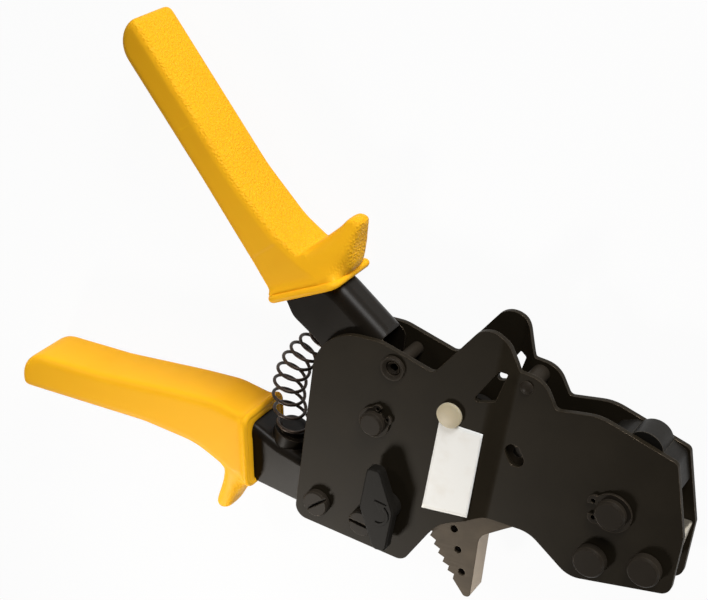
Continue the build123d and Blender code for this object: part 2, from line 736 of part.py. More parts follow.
with BuildPart() as stop_pin_circlips:
    for place in stop_pin_places:
        add(circlip(place, stop_pin_radius - circlip_groove, 270, mid - front_out - circlip_thickness))
stop_pin_circlips.part.label = "stop_pin_circlips"
export_step(stop_pin_circlips.part, "parts/stop_pin_circlips.step")

with BuildPart() as stop_pin_sleeves:
    with BuildSketch(Plane.XY.offset(mid - front_in)):
        with Locations(*stop_pin_places):
            Circle(stop_sleeve_radius)
            Circle(stop_pin_radius + seat_fit, mode=Mode.SUBTRACT)
    extrude(amount=2 * front_in)
stop_pin_sleeves.part.label = "stop_pin_sleeves"
export_step(stop_pin_sleeves.part, "parts/stop_pin_sleeves.step")

# Drive pawl on the moving handle; it trails just outside the tooth tips
drive_tip = about_jaw(tooth_tip_radius + 0.6, 188.5)
drive_length = hypot(drive_tip[0] - drive_pawl_place[0], drive_tip[1] - drive_pawl_place[1])
drive_angle = degrees(atan2(drive_tip[1] - drive_pawl_place[1], drive_tip[0] - drive_pawl_place[0]))
with BuildPart() as drive_pawl:
    with BuildSketch(Plane.XY.offset(mid - pawl_half_width)):
        with Locations(Location((*drive_pawl_place, 0), (0, 0, drive_angle))):
            Polygon(
                (0, 4.0),
                (12.0, 2.2),
                (drive_length - 2.5, 1.6),
                (drive_length, 0.0),
                (drive_length - 0.6, -1.0),
                (12.0, -2.2),
                (0, -4.0),
                align=None,
            )
            Circle(4.4)
            Circle(pawl_pin_radius + running_fit, mode=Mode.SUBTRACT)
    extrude(amount=2 * pawl_half_width)
drive_pawl.part.label = "drive_pawl"
export_step(drive_pawl.part, "parts/drive_pawl.step")

with BuildPart() as drive_pawl_pin:
    add(drilled([drive_pawl_place], pawl_pin_radius, mid - moving_half, mid + moving_half))
drive_pawl_pin.part.label = "drive_pawl_pin"
export_step(drive_pawl_pin.part, "parts/drive_pawl_pin.step")

# Release shaft with the holding pawl on it, and the knob that turns it above the screw heads
knob_under = mid + rear_out + screw_head_height + side_clearance
shaft_top = knob_under + knob_thickness / 2
hold_tip = about_jaw(tooth_tip_radius + 0.5, 199.2)
hold_length = hypot(hold_tip[0] - release_axis[0], hold_tip[1] - release_axis[1])
hold_angle = degrees(atan2(hold_tip[1] - release_axis[1], hold_tip[0] - release_axis[0]))
with BuildPart() as release_shaft:
    add(drilled([release_axis], release_shaft_radius + 1.6, 0.5, pivot_head_height - 0.1))
    add(drilled([release_axis], release_shaft_radius, pivot_head_height - 0.1, shaft_top))
release_shaft.part.label = "release_shaft"
export_step(release_shaft.part, "parts/release_shaft.step")

with BuildPart() as holding_pawl:
    with BuildSketch(Plane.XY.offset(mid - pawl_half_width)):
        with Locations(Location((*release_axis, 0), (0, 0, hold_angle))):
            Polygon(
                (0, 5.0),
                (hold_length - 5.5, 1.0),
                (hold_length, 0.0),
                (hold_length - 1.6, -1.4),
                (0, -5.0),
                align=None,
            )
            Circle(holding_hub_radius)
            Circle(release_shaft_radius + seat_fit, mode=Mode.SUBTRACT)
    extrude(amount=2 * pawl_half_width)
holding_pawl.part.label = "holding_pawl"
export_step(holding_pawl.part, "parts/holding_pawl.step")

knob_plane = Plane(
    origin=(knob_place[0], knob_place[1], knob_under),
    x_dir=(cos(radians(knob_turn)), sin(radians(knob_turn)), 0),
    z_dir=(0, 0, 1),
)
with BuildPart() as release_knob:
    with BuildSketch(knob_plane):
        add(outline([
            (-knob_end / 2, knob_length / 2, knob_end_round),
            (knob_end / 2, knob_length / 2, knob_end_round),
            (knob_width / 2, 0, knob_side_round),
            (knob_end / 2, -knob_length / 2, knob_end_round),
            (-knob_end / 2, -knob_length / 2, knob_end_round),
            (-knob_width / 2, 0, knob_side_round),
        ]))
    extrude(amount=knob_thickness)
    fillet(release_knob.faces().sort_by(Axis.Z)[-1].edges(), knob_edge)
    add(drilled([release_axis], knob_hub_radius, mid + rear_out + side_clearance, knob_under))
    add(drilled([release_axis], release_shaft_radius + seat_fit, mid, shaft_top), mode=Mode.SUBTRACT)
release_knob.part.label = "release_knob"
export_step(release_knob.part, "parts/release_knob.step")

# Hollow rivet that stops the opening handle, and the small spacer rivet with its sleeve
rivet_head = 4.9
rivet_rise = 0.9
with BuildPart() as stop_rivet:
    add(turned(stop_rivet_place, [
        (stop_rivet_bore, mid - rear_out + 1.0),
        (stop_rivet_bore, mid + rear_out - 1.0),
        (rivet_head - 0.9, mid + rear_out + rivet_rise),
        (rivet_head - 0.3, mid + rear_out + rivet_rise),
        (rivet_head, mid + rear_out),
        (stop_rivet_radius, mid + rear_out),
        (stop_rivet_radius, mid - rear_out),
        (rivet_head, mid - rear_out),
        (rivet_head - 0.3, mid - rear_out - rivet_rise),
        (rivet_head - 0.9, mid - rear_out - rivet_rise),
    ]))
stop_rivet.part.label = "stop_rivet"
export_step(stop_rivet.part, "parts/stop_rivet.step")

with BuildPart() as spacer_rivet:
    add(drilled([spacer_rivet_place], spacer_rivet_radius, mid - front_out, mid + front_out))
    add(domed(spacer_rivet_place, spacer_head_radius, mid + front_out, 1.4))
    add(domed(spacer_rivet_place, spacer_head_radius, mid - front_out, -1.4))
spacer_rivet.part.label = "spacer_rivet"
export_step(spacer_rivet.part, "parts/spacer_rivet.step")

with BuildPart() as spacer_rivet_sleeve:
    add(drilled([spacer_rivet_place], spacer_sleeve_radius, mid - front_in, mid + front_in))
    add(drilled([spacer_rivet_place], spacer_rivet_radius + seat_fit, 0, 2 * mid), mode=Mode.SUBTRACT)
spacer_rivet_sleeve.part.label = "spacer_rivet_sleeve"
export_step(spacer_rivet_sleeve.part, "parts/spacer_rivet_sleeve.step")

# Lamp: lens in the front plate, the diode behind it, and its cells behind the rear plate
lens_neck = lens_radius - 0.6
lamp_floor = mid + lever_half + 0.5
with BuildPart() as light_lens:
    add(drilled([lens_place], lens_neck, mid + rear_in, mid + rear_out))
    add(drilled([lens_place], lens_radius, mid + rear_out, mid + rear_out + 1.3))
    add(domed(lens_place, lens_radius, mid + rear_out + 1.3, 0.9))
    add(drilled([lens_place], 2.0, mid, mid + rear_out + 0.8), mode=Mode.SUBTRACT)
light_lens.part.label = "light_lens"
export_step(light_lens.part, "parts/light_lens.step")

with BuildPart() as lamp_diode:
    add(drilled([lens_place], lens_neck, lamp_floor, lamp_floor + 1.0))
    add(drilled([lens_place], lens_radius + 1.2, lamp_floor + 1.0, mid + rear_in))
    add(drilled([lens_place], 1.8, mid + rear_in, mid + rear_out))
lamp_diode.part.label = "lamp_diode"
export_step(lamp_diode.part, "parts/lamp_diode.step")

tray_floor = mid - lever_half - 0.5
cells_top = tray_floor - 0.6
with BuildPart() as battery_tray:
    add(drilled([battery_place], battery_tray_radius, mid - rear_out, tray_floor))
    add(drilled([battery_place], cell_radius + 0.3, 0, cells_top), mode=Mode.SUBTRACT)
battery_tray.part.label = "battery_tray"
export_step(battery_tray.part, "parts/battery_tray.step")

with BuildPart() as coin_cells:
    for k in range(2):
        add(drilled([battery_place], cell_radius, cells_top - (k + 1) * cell_thickness + 0.05 * k,
                    cells_top - k * cell_thickness - 0.05 * (1 - k)))
coin_cells.part.label = "coin_cells"
export_step(coin_cells.part, "parts/coin_cells.step")

cover_top = mid - rear_out - 0.05
with BuildPart() as battery_cover:
    add(drilled([battery_place], battery_tray_radius + 0.8, cover_top - 1.3, cover_top))
    fillet(battery_cover.faces().sort_by(Axis.Z)[0].edges(), 0.5)
    with BuildSketch(Plane.XY.offset(cover_top - 1.3)):
        with Locations(battery_place):
            SlotOverall(1.5 * battery_tray_radius, 1.8)
    extrude(amount=0.8, mode=Mode.SUBTRACT)
battery_cover.part.label = "battery_cover"
export_step(battery_cover.part, "parts/battery_cover.step")

# Springs inside: jaw return, drive pawl and holding pawl
return_from = Vector(55.4, 7.4, mid)
return_to = Vector(spacer_rivet_place[0], spacer_rivet_place[1] - spacer_sleeve_radius - 1.0, mid)
return_turns = 6
return_way = (return_to - return_from).normalized()
return_side = Vector(-return_way.Y, return_way.X, 0)


def return_point(t):
    """Point of the jaw return spring's wire."""
    turn = 2 * pi * return_turns * t
    across = return_side * (2.4 * cos(turn)) + Vector(0, 0, 2.4 * sin(turn))
    return return_from + (return_to - return_from) * t + across


with BuildPart() as jaw_return_spring:
    add(wound_wire(return_point, 2 * return_turns, 0.9))
jaw_return_spring.part.label = "jaw_return_spring"
export_step(jaw_return_spring.part, "parts/jaw_return_spring.step")


def pawl_coil(place, radius, low, high, turns):
    """Function of t for a plain coil standing on Z round a place in plan."""
    def point(t):
        turn = 2 * pi * turns * t
        return Vector(place[0] + radius * cos(turn), place[1] + radius * sin(turn), low + (high - low) * t)
    return point


pawl_wire = 0.7
with BuildPart() as drive_pawl_spring:
    add(wound_wire(pawl_coil(drive_pawl_place, pawl_pin_radius + 0.9, mid + pawl_half_width + 0.5,
                             mid + moving_inner - 0.5, 1.5), 3, pawl_wire))
drive_pawl_spring.part.label = "drive_pawl_spring"
export_step(drive_pawl_spring.part, "parts/drive_pawl_spring.step")

with BuildPart() as holding_pawl_spring:
    add(wound_wire(pawl_coil(release_axis, release_shaft_radius + 1.0, mid + pawl_half_width + 0.6,
                             mid + rear_in - 0.6, 2), 4, 0.9))
holding_pawl_spring.part.label = "holding_pawl_spring"
export_step(holding_pawl_spring.part, "parts/holding_pawl_spring.step")
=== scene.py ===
"""Looks for the ratchet cinch clamp tool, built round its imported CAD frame.

Lengths are metres in the part's own frame. The tool lies on its rear plate: X runs along the fixed
handle towards the jaws, Y towards the moving handle and Z up through the front plate. Values that
read better in millimetres are written so and multiplied by MM.
"""

from __future__ import annotations

import logging
import math
from dataclasses import dataclass, field
from enum import Enum
from typing import Any

import bmesh
import bpy
from mathutils import Matrix, Vector


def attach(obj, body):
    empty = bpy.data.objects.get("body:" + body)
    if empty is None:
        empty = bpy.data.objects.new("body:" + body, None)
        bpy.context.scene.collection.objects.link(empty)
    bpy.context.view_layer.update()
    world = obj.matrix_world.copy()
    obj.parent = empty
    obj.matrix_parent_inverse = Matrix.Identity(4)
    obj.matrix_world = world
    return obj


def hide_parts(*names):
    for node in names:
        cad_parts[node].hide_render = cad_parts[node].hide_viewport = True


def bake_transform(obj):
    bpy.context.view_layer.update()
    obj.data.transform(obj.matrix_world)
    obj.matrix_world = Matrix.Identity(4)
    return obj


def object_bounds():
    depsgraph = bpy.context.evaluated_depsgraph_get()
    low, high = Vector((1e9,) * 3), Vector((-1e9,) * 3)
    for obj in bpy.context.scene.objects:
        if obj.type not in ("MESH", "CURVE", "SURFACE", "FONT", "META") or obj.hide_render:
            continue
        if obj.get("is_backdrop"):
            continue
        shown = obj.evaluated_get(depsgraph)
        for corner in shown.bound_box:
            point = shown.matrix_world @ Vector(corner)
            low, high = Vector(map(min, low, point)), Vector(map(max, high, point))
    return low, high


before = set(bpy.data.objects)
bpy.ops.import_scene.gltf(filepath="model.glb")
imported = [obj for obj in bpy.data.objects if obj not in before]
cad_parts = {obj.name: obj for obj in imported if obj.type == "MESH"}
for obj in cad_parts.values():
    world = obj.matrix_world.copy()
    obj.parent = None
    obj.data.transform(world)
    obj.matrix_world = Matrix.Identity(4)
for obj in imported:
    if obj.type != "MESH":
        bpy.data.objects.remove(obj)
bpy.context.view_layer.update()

MM = 0.001
GRAIN_ATTRIBUTE = "grain"
Colour = tuple[float, float, float]
Place = tuple[float, float, float]
Point = tuple[float, float]
UP = Vector((0.0, 0.0, 1.0))
log = logging.getLogger("clamp_tool")


def screen_colour(red: int, green: int, blue: int) -> Colour:
    """Linear colour from screen values of 0 to 255.

    Args:
        red: Screen red.
        green: Screen green.
        blue: Screen blue.

    Returns:
        The three linear values.
    """
    shares = [value / 255 for value in (red, green, blue)]
    return tuple(s / 12.92 if s <= 0.04045 else ((s + 0.055) / 1.055) ** 2.4 for s in shares)


def lighter(colour: Colour, times: float) -> Colour:
    """Linear colour made lighter by a factor."""
    return tuple(times * value for value in colour)


def linked(name: str, data: bpy.types.ID) -> bpy.types.Object:
    """New object of the scene.

    Args:
        name: Name of the object.
        data: Its mesh, curve, light or camera.

    Returns:
        The linked object.
    """
    made = bpy.data.objects.new(name, data)
    bpy.context.scene.collection.objects.link(made)
    return made


def plain_mesh(name: str, form: bmesh.types.BMesh) -> bpy.types.Mesh:
    """Mesh from a finished edit mesh, which is freed.

    Args:
        name: Name of the mesh.
        form: The edit mesh.

    Returns:
        The mesh.
    """
    mesh = bpy.data.meshes.new(name)
    form.to_mesh(mesh)
    form.free()
    return mesh


class Term:
    """A number in a node tree; arithmetic on it adds Math nodes."""

    def __init__(self, tree: Tree, socket: bpy.types.NodeSocket) -> None:
        """Wrap one output socket of a tree."""
        self.tree = tree
        self.socket = socket

    def __add__(self, other: Term | float) -> Term:
        """Sum of two values."""
        return self.tree.math("ADD", self, other)

    __radd__ = __add__

    def __sub__(self, other: Term | float) -> Term:
        """Difference of two values."""
        return self.tree.math("SUBTRACT", self, other)

    def __rsub__(self, other: float) -> Term:
        """Difference with the number first."""
        return self.tree.math("SUBTRACT", other, self)

    def __mul__(self, other: Term | float) -> Term:
        """Product of two values."""
        return self.tree.math("MULTIPLY", self, other)

    __rmul__ = __mul__

    def __truediv__(self, other: Term | float) -> Term:
        """Quotient of two values."""
        return self.tree.math("DIVIDE", self, other)

    def step(self, low: float, high: float) -> Term:
        """Smooth step from 0 at low to 1 at high; low may be the larger.

        Args:
            low: Value that gives 0.
            high: Value that gives 1.

        Returns:
            The stepped value.
        """
        settings = {"interpolation_type": "SMOOTHSTEP"}
        made = self.tree.node("ShaderNodeMapRange", settings, {0: self, 1: low, 2: high})
        return Term(self.tree, made.outputs[0])


class Tree:
    """Builder for one shader or geometry node tree."""

    def __init__(self, nodes: bpy.types.NodeTree) -> None:
        """Start on an empty or cleared tree."""
        self.nodes = nodes

    def node(
        self,
        kind: str,
        settings: dict[str, Any] | None = None,
        inputs: dict[str | int, Any] | None = None,
    ) -> bpy.types.Node:
        """Add a node, set it up and fill its sockets.

        Args:
            kind: Blender's type name of the node.
            settings: Properties of the node.
            inputs: Values, terms or output sockets by input name or number.

        Returns:
            The new node.
        """
        made = self.nodes.nodes.new(kind)
        for name, value in (settings or {}).items():
            setattr(made, name, value)
        for key, value in (inputs or {}).items():
            if isinstance(value, Term):
                self.nodes.links.new(value.socket, made.inputs[key])
            elif isinstance(value, bpy.types.NodeSocket):
                self.nodes.links.new(value, made.inputs[key])
            else:
                made.inputs[key].default_value = value
        return made

    def math(self, operation: str, first: Any, second: Any = 0.0) -> Term:
        """Math node of one operation on one or two values."""
        made = self.node("ShaderNodeMath", {"operation": operation}, {0: first, 1: second})
        return Term(self, made.outputs[0])

    def dot(self, first: Any, second: Any) -> Term:
        """Dot product of two vectors.

        Args:
            first: Vector or its socket.
            second: Vector or its socket.

        Returns:
            The product.
        """
        settings = {"operation": "DOT_PRODUCT"}
        made = self.node("ShaderNodeVectorMath", settings, {0: first, 1: second})
        return Term(self, made.outputs["Value"])

    def mix_colour(self, share: Any, first: Any, second: Any) -> bpy.types.NodeSocket:
        """Mix two colours.

        Args:
            share: Part of the second colour.
            first: Colour or socket at 0.
            second: Colour or socket at 1.

        Returns:
            The mixed colour's socket.
        """
        ends = [(*c, 1.0) if isinstance(c, tuple) and len(c) == 3 else c for c in (first, second)]
        inputs = {0: share, 6: ends[0], 7: ends[1]}
        made = self.node("ShaderNodeMix", {"data_type": "RGBA"}, inputs)
        return made.outputs[2]

    def place(self, turn: float = 0.0, stretch: Place = (1.0, 1.0, 1.0)) -> bpy.types.NodeSocket:
        """Object coordinates, turned about Z in degrees and stretched.

        Args:
            turn: Turn about Z in degrees.
            stretch: Scale of each axis.

        Returns:
            The vector socket.
        """
        spot = self.node("ShaderNodeTexCoord").outputs["Object"]
        inputs = {"Vector": spot, "Rotation": (0.0, 0.0, math.radians(turn)), "Scale": stretch}
        return self.node("ShaderNodeMapping", {"vector_type": "POINT"}, inputs).outputs[0]

    def noise(self, vector: bpy.types.NodeSocket, scale: float, detail: float = 3.0) -> Term:
        """Fractal noise of 0 to 1.

        Args:
            vector: Where it is read.
            scale: Cells per metre.
            detail: Steps of finer noise.

        Returns:
            The noise.
        """
        inputs = {"Vector": vector, "Scale": scale, "Detail": detail}
        made = self.node("ShaderNodeTexNoise", None, inputs)
        return Term(self, made.outputs[0])

    def bump(
        self, height: Term, strength: float, depth: float, under: Any = None
    ) -> bpy.types.NodeSocket:
        """Bump node from a height, over another normal where one is given.

        Args:
            height: Height of 0 to 1.
            strength: Share of the effect.
            depth: Height in metres that 1 stands for.
            under: Normal that the bump is added to.

        Returns:
            The normal's socket.
        """
        inputs = {"Strength": strength, "Distance": depth, "Height": height}
        if under is not None:
            inputs["Normal"] = under
        return self.node("ShaderNodeBump", None, inputs).outputs[0]


class Surface(Tree):
    """Shader tree that ends in one Principled shader."""

    def __init__(self, name: str) -> None:
        """Make the material and clear its tree.

        Args:
            name: Name of the material.
        """
        self.material = bpy.data.materials.new(name)
        self.material.use_nodes = True
        self.material.node_tree.nodes.clear()
        super().__init__(self.material.node_tree)

    def soft_edges(self, radius: float) -> tuple[bpy.types.NodeSocket, Term]:
        """Normal rounded over the edges, and a mask that is 1 on them.

        Args:
            radius: Radius of the rounding in metres.

        Returns:
            The normal's socket and the mask.
        """
        rounded = self.node("ShaderNodeBevel", {"samples": 6}, {"Radius": radius}).outputs[0]
        plain = self.node("ShaderNodeNewGeometry").outputs["Normal"]
        return rounded, self.dot(rounded, plain).step(0.99, 0.8)

    def finish(self, inputs: dict[str, Any]) -> bpy.types.Material:
        """Close the tree with a Principled shader and its output.

        Args:
            inputs: Sockets of the shader.

        Returns:
            The finished material.
        """
        shader = self.node("ShaderNodeBsdfPrincipled", None, inputs)
        self.node("ShaderNodeOutputMaterial", None, {"Surface": shader.outputs[0]})
        return self.material


@dataclass(frozen=True)
class BlackOxide:
    """Dark oxide or paint on steel: rubbed edges, a painted edge highlight line, mottled sheen."""

    name: str
    colour: Colour
    # Colour of the rubbed edges, and of the painted highlight line along every edge.
    worn_and_highlit: Colour = screen_colour(104, 92, 78)
    sheen: float = 0.34
    edge: float = 0.35 * MM
    wear: float = 0.5
    gloss: float = 0.05
    cloud_scale: float = 60.0
    grit_scale: float = 2600.0
    rub_scale: float = 420.0

    def material(self) -> bpy.types.Material:
        """Build the material.

        Returns:
            The finished material.
        """
        s = Surface(self.name)
        cloud = s.noise(s.place(), self.cloud_scale, 4.0)
        grit = s.noise(s.place(), self.grit_scale, 2.0)
        rounded, rim = s.soft_edges(self.edge)
        # Painted highlight: every edge is lightened by a fixed share, with rubbed wear patches on
        # top.
        rub_and_highlight = rim * (0.45 + s.noise(s.place(), self.rub_scale, 4.0).step(0.42, 0.68) * self.wear)
        tint = s.mix_colour(cloud.step(0.3, 0.75) * 0.5, self.colour, lighter(self.colour, 1.35))
        return s.finish({
            "Base Color": s.mix_colour(rub_and_highlight, tint, self.worn_and_highlit),
            "Roughness": self.sheen + cloud * 0.12 + grit * 0.08 - rub_and_highlight * 0.1,
            "Metallic": rub_and_highlight * 0.7,
            "Specular IOR Level": self.gloss,
            "Normal": s.bump(grit, 0.35, 0.03 * MM, rounded),
        })


@dataclass(frozen=True)
class GroundSteel:
    """Tool steel: dark hardening skin with ground lines, bright where it works."""

    name: str
    colour: Colour
    bright: Colour = screen_colour(196, 188, 172)
    sheen: float = 0.5
    bright_from: float = 1.0
    lines: float = 35.0
    # Painted light: walls facing this way take the lighter colour below, as a lit side.
    lit_side_way: Place | None = None
    lit_side_colour: Colour = screen_colour(178, 162, 142)
    edge: float = 0.3 * MM
    # Colour that every edge is lightened towards: edge wear and a painted highlight line.
    edge_colour: Colour = screen_colour(150, 138, 120)
    pit_colour: Colour = screen_colour(70, 62, 52)
    line_scale: Place = (140.0, 2600.0, 900.0)
    cloud_scale: float = 110.0
    pit_scale: float = 900.0
    ragged_by: float = 4.0 * MM
    fade: float = 1.5 * MM

    def material(self) -> bpy.types.Material:
        """Build the material.

        The skin is ground off beyond bright_from along X; walls facing the lit side take a lighter
        colour, painted light.

        Returns:
            The finished material.
        """
        s = Surface(self.name)
        grain = s.noise(s.place(self.lines, self.line_scale), 1.0, 2.0)
        cloud = s.noise(s.place(), self.cloud_scale, 4.0)
        rounded, rim = s.soft_edges(self.edge)
        whole = s.node("ShaderNodeTexCoord").outputs["Object"]
        spot = s.node("ShaderNodeSeparateXYZ", None, {0: whole})
        ragged = Term(s, spot.outputs[0]) + (cloud - 0.5) * self.ragged_by
        bare = ragged.step(self.bright_from, self.bright_from + self.fade)
        pits = s.noise(s.place(), self.pit_scale, 3.0).step(0.62, 0.7)
        skin = s.mix_colour(cloud.step(0.35, 0.7) * 0.6, self.colour, lighter(self.colour, 1.5))
        # Painted highlight: every edge is lightened by a fixed share, standing for edge wear and a
        # highlight line.
        worn_and_highlit = s.mix_colour(rim * 0.45, skin, self.edge_colour)
        if self.lit_side_way is not None:
            # Painted light: walls turned towards the lit side take a lighter colour.
            facing = s.dot(s.node("ShaderNodeTexCoord").outputs["Normal"], self.lit_side_way)
            worn_and_highlit = s.mix_colour(facing.step(0.95, 0.99), worn_and_highlit, self.lit_side_colour)
        ground = s.mix_colour(pits * 0.7, self.bright, self.pit_colour)
        return s.finish({
            "Base Color": s.mix_colour(bare, worn_and_highlit, ground),
            "Roughness": self.sheen + (grain - 0.5) * 0.2 - bare * 0.12,
            "Metallic": 0.2 + bare * 0.7,
            "Specular IOR Level": 0.15,
            "Normal": s.bump(grain, 0.3, 0.03 * MM, rounded),
        })


@dataclass(frozen=True)
class SpringWire:
    """Oiled dark spring wire with a cloudy skin."""

    name: str
    colour: Colour
    cloud_scale: float = 300.0
    skin_scale: float = 3000.0

    def material(self) -> bpy.types.Material:
        """Build the material.

        Returns:
            The finished material.
        """
        s = Surface(self.name)
        cloud = s.noise(s.place(), self.cloud_scale, 4.0)
        tint = s.mix_colour(cloud.step(0.35, 0.75), self.colour, lighter(self.colour, 2.2))
        return s.finish({
            "Base Color": tint,
            "Roughness": 0.34 + cloud * 0.16,
            "Metallic": 0.6,
            "Normal": s.bump(s.noise(s.place(), self.skin_scale, 2.0), 0.25, 0.02 * MM),
        })


@dataclass(frozen=True)
class GripPlastic:
    """Yellow moulded plastic, pebbled where the mesh's grain attribute says so."""

    name: str
    colour: Colour
    # Darker colour for the painted shade between pebbles and for the soiled clouds.
    shade_and_soil: Colour
    sheen: float = 0.42
    pebble_scale: float = 1050.0
    wander_scale: float = 700.0
    wander_by: float = 0.6 * MM
    skin_scale: float = 2200.0
    cloud_scale: float = 45.0

    def material(self) -> bpy.types.Material:
        """Build the material.

        Returns:
            The finished material.
        """
        s = Surface(self.name)
        marked = s.node("ShaderNodeAttribute", {"attribute_name": GRAIN_ATTRIBUTE})
        grain = Term(s, marked.outputs["Fac"])
        winding = {"Vector": s.place(), "Scale": self.wander_scale, "Detail": 1.0}
        wander = s.node("ShaderNodeTexNoise", None, winding)
        spot = s.node("ShaderNodeVectorMath", {"operation": "MULTIPLY_ADD"},
                      {0: wander.outputs["Color"], 1: (self.wander_by,) * 3, 2: s.place()})
        cells = s.node("ShaderNodeTexVoronoi", {"feature": "SMOOTH_F1"},
                       {"Vector": spot.outputs[0], "Scale": self.pebble_scale, "Smoothness": 0.6})
        pebble = 1.0 - Term(s, cells.outputs["Distance"]).step(0.1, 0.75)
        skin = s.noise(s.place(), self.skin_scale, 2.0)
        cloud = s.noise(s.place(), self.cloud_scale, 3.0)
        relief = pebble * grain + skin * 0.06
        # Painted shade: the hollows between pebbles take the darker colour.
        shade = s.mix_colour((1.0 - pebble) * grain * 0.14, self.colour, self.shade_and_soil)
        soiled = s.mix_colour(cloud.step(0.5, 0.85) * 0.15, shade, self.shade_and_soil)
        return s.finish({
            "Base Color": soiled,
            "Roughness": self.sheen + cloud * 0.08 + grain * 0.04,
            "Specular IOR Level": 0.08,
            "Subsurface Weight": 0.06,
            "Subsurface Radius": (0.004, 0.002, 0.0004),
            "Subsurface Scale": 1.0,
            "Normal": s.bump(relief, 1.0, 0.3 * MM),
        })


@dataclass(frozen=True)
class MouldedPlastic:
    """Plain moulded plastic with a fine spark-eroded skin and painted edge highlights."""

    name: str
    colour: Colour
    sheen: float = 0.45
    edge: float = 0.3 * MM
    gloss: float = 0.06
    skin_scale: float = 1700.0
    cloud_scale: float = 80.0

    def material(self) -> bpy.types.Material:
        """Build the material.

        Returns:
            The finished material.
        """
        s = Surface(self.name)
        skin = s.noise(s.place(), self.skin_scale, 3.0)
        cloud = s.noise(s.place(), self.cloud_scale, 3.0)
        rounded, rim = s.soft_edges(self.edge)
        tint = s.mix_colour(cloud.step(0.35, 0.8) * 0.5, self.colour, lighter(self.colour, 1.5))
        # Painted highlight: a pale colour along every edge.
        edge_highlight_colour = tuple(min(1.0, 2.4 * value + 0.01) for value in self.colour)
        return s.finish({
            "Base Color": s.mix_colour(rim * 0.25, tint, edge_highlight_colour),
            "Roughness": self.sheen + skin * 0.1,
            "Specular IOR Level": self.gloss,
            "Normal": s.bump(skin, 0.3, 0.04 * MM, rounded),
        })


@dataclass(frozen=True)
class CloudyLens:
    """Milky lamp lens, lighter towards its middle."""

    name: str
    colour: Colour
    middle: Colour
    centre: Place
    radius: float
    haze_scale: float = 500.0
    ripple_scale: float = 900.0

    def material(self) -> bpy.types.Material:
        """Build the material.

        Returns:
            The finished material.
        """
        s = Surface(self.name)
        spot = s.node("ShaderNodeTexCoord").outputs["Object"]
        gap = s.node("ShaderNodeVectorMath", {"operation": "DISTANCE"}, {0: spot, 1: self.centre})
        inner = Term(s, gap.outputs["Value"]).step(0.95 * self.radius, 0.35 * self.radius)
        haze = s.noise(s.place(), self.haze_scale, 3.0)
        return s.finish({
            "Base Color": s.mix_colour(inner * (0.5 + haze * 0.5), self.colour, self.middle),
            "Roughness": 0.5 + haze * 0.12,
            "Subsurface Weight": 0.35,
            "Subsurface Radius": (0.003, 0.0026, 0.0018),
            "Subsurface Scale": 1.0,
            "Normal": s.bump(s.noise(s.place(), self.ripple_scale, 2.0), 0.15, 0.05 * MM),
        })


@dataclass(frozen=True)
class PaperSticker:
    """White paper sticker, soiled in faint clouds."""

    name: str
    colour: Colour
    soil: Colour
    fibre_turn: float = 20.0
    fibre_scale: float = 1400.0
    cloud_scale: float = 130.0

    def material(self) -> bpy.types.Material:
        """Build the material.

        Returns:
            The finished material.
        """
        s = Surface(self.name)
        fibre = s.noise(s.place(self.fibre_turn, (1.0, 3.0, 1.0)), self.fibre_scale, 3.0)
        cloud = s.noise(s.place(), self.cloud_scale, 4.0)
        return s.finish({
            "Base Color": s.mix_colour(cloud.step(0.45, 0.85) * 0.4, self.colour, self.soil),
            "Roughness": 0.5 + fibre * 0.15,
            "Normal": s.bump(fibre, 0.25, 0.02 * MM),
        })


class Slot(Enum):
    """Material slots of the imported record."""

    SPRING = "spring_steel"
    GRIP = "yellow_grip"
    PLASTIC = "black_plastic"
    WHITE = "white_plastic"


LENS_CENTRE = (30.3 * MM, 10.8 * MM, 24.0 * MM)
FINISHES = {
    "plate": BlackOxide("plate_oxide", screen_colour(36, 31, 23)),
    "pins": BlackOxide("pin_oxide", screen_colour(42, 37, 31)),
    "channel": BlackOxide("channel_gloss", screen_colour(24, 20, 15), sheen=0.24, wear=0.25,
                          gloss=0.12),
    "lever": GroundSteel("lever_steel", screen_colour(66, 57, 45), bright_from=104.5 * MM,
                         lit_side_way=(0.99, -0.14, 0.0)),
    "jaw": GroundSteel("jaw_steel", screen_colour(26, 24, 21)),
    "pawl": GroundSteel("pawl_steel", screen_colour(80, 70, 58), lines=80.0),
    "bright": GroundSteel("cell_steel", screen_colour(170, 168, 162), sheen=0.3),
    "spring": SpringWire("spring_wire", screen_colour(44, 34, 26)),
    "grip": GripPlastic("grip_yellow", screen_colour(255, 187, 30), screen_colour(208, 134, 20)),
    "knob": MouldedPlastic("knob_black", screen_colour(25, 23, 20)),
    "tray": MouldedPlastic("tray_black", screen_colour(30, 28, 26)),
    "lens": CloudyLens("lens_cloudy", screen_colour(188, 176, 148), screen_colour(204, 190, 160),
                       LENS_CENTRE, 4.75 * MM),
    "diode": MouldedPlastic("diode_white", screen_colour(214, 212, 200), sheen=0.4),
    "sticker": PaperSticker("sticker_paper", screen_colour(248, 248, 245),
                            screen_colour(230, 223, 212)),
}
NODE_FINISH = {
    "plate": ("front_side_plate", "rear_side_plate"),
    "channel": ("fixed_handle_channel", "moving_handle_channel"),
    "pins": (
        "handle_screws", "handle_screw_nuts", "handle_pivot_pin", "handle_pivot_circlip",
        "jaw_pivot_pin", "jaw_pivot_circlip", "stop_pins", "stop_pin_circlips", "stop_pin_sleeves",
        "stop_rivet", "spacer_rivet", "spacer_rivet_sleeve", "drive_pawl_pin", "release_shaft",
        "return_spring_pin",
    ),
    "lever": ("jaw_lever",),
    "jaw": ("fixed_jaw",),
    "pawl": ("drive_pawl", "holding_pawl"),
    "knob": ("release_knob",),
    "tray": ("battery_tray", "battery_cover"),
    "bright": ("coin_cells",),
    "lens": ("light_lens",),
    "diode": ("lamp_diode",),
}


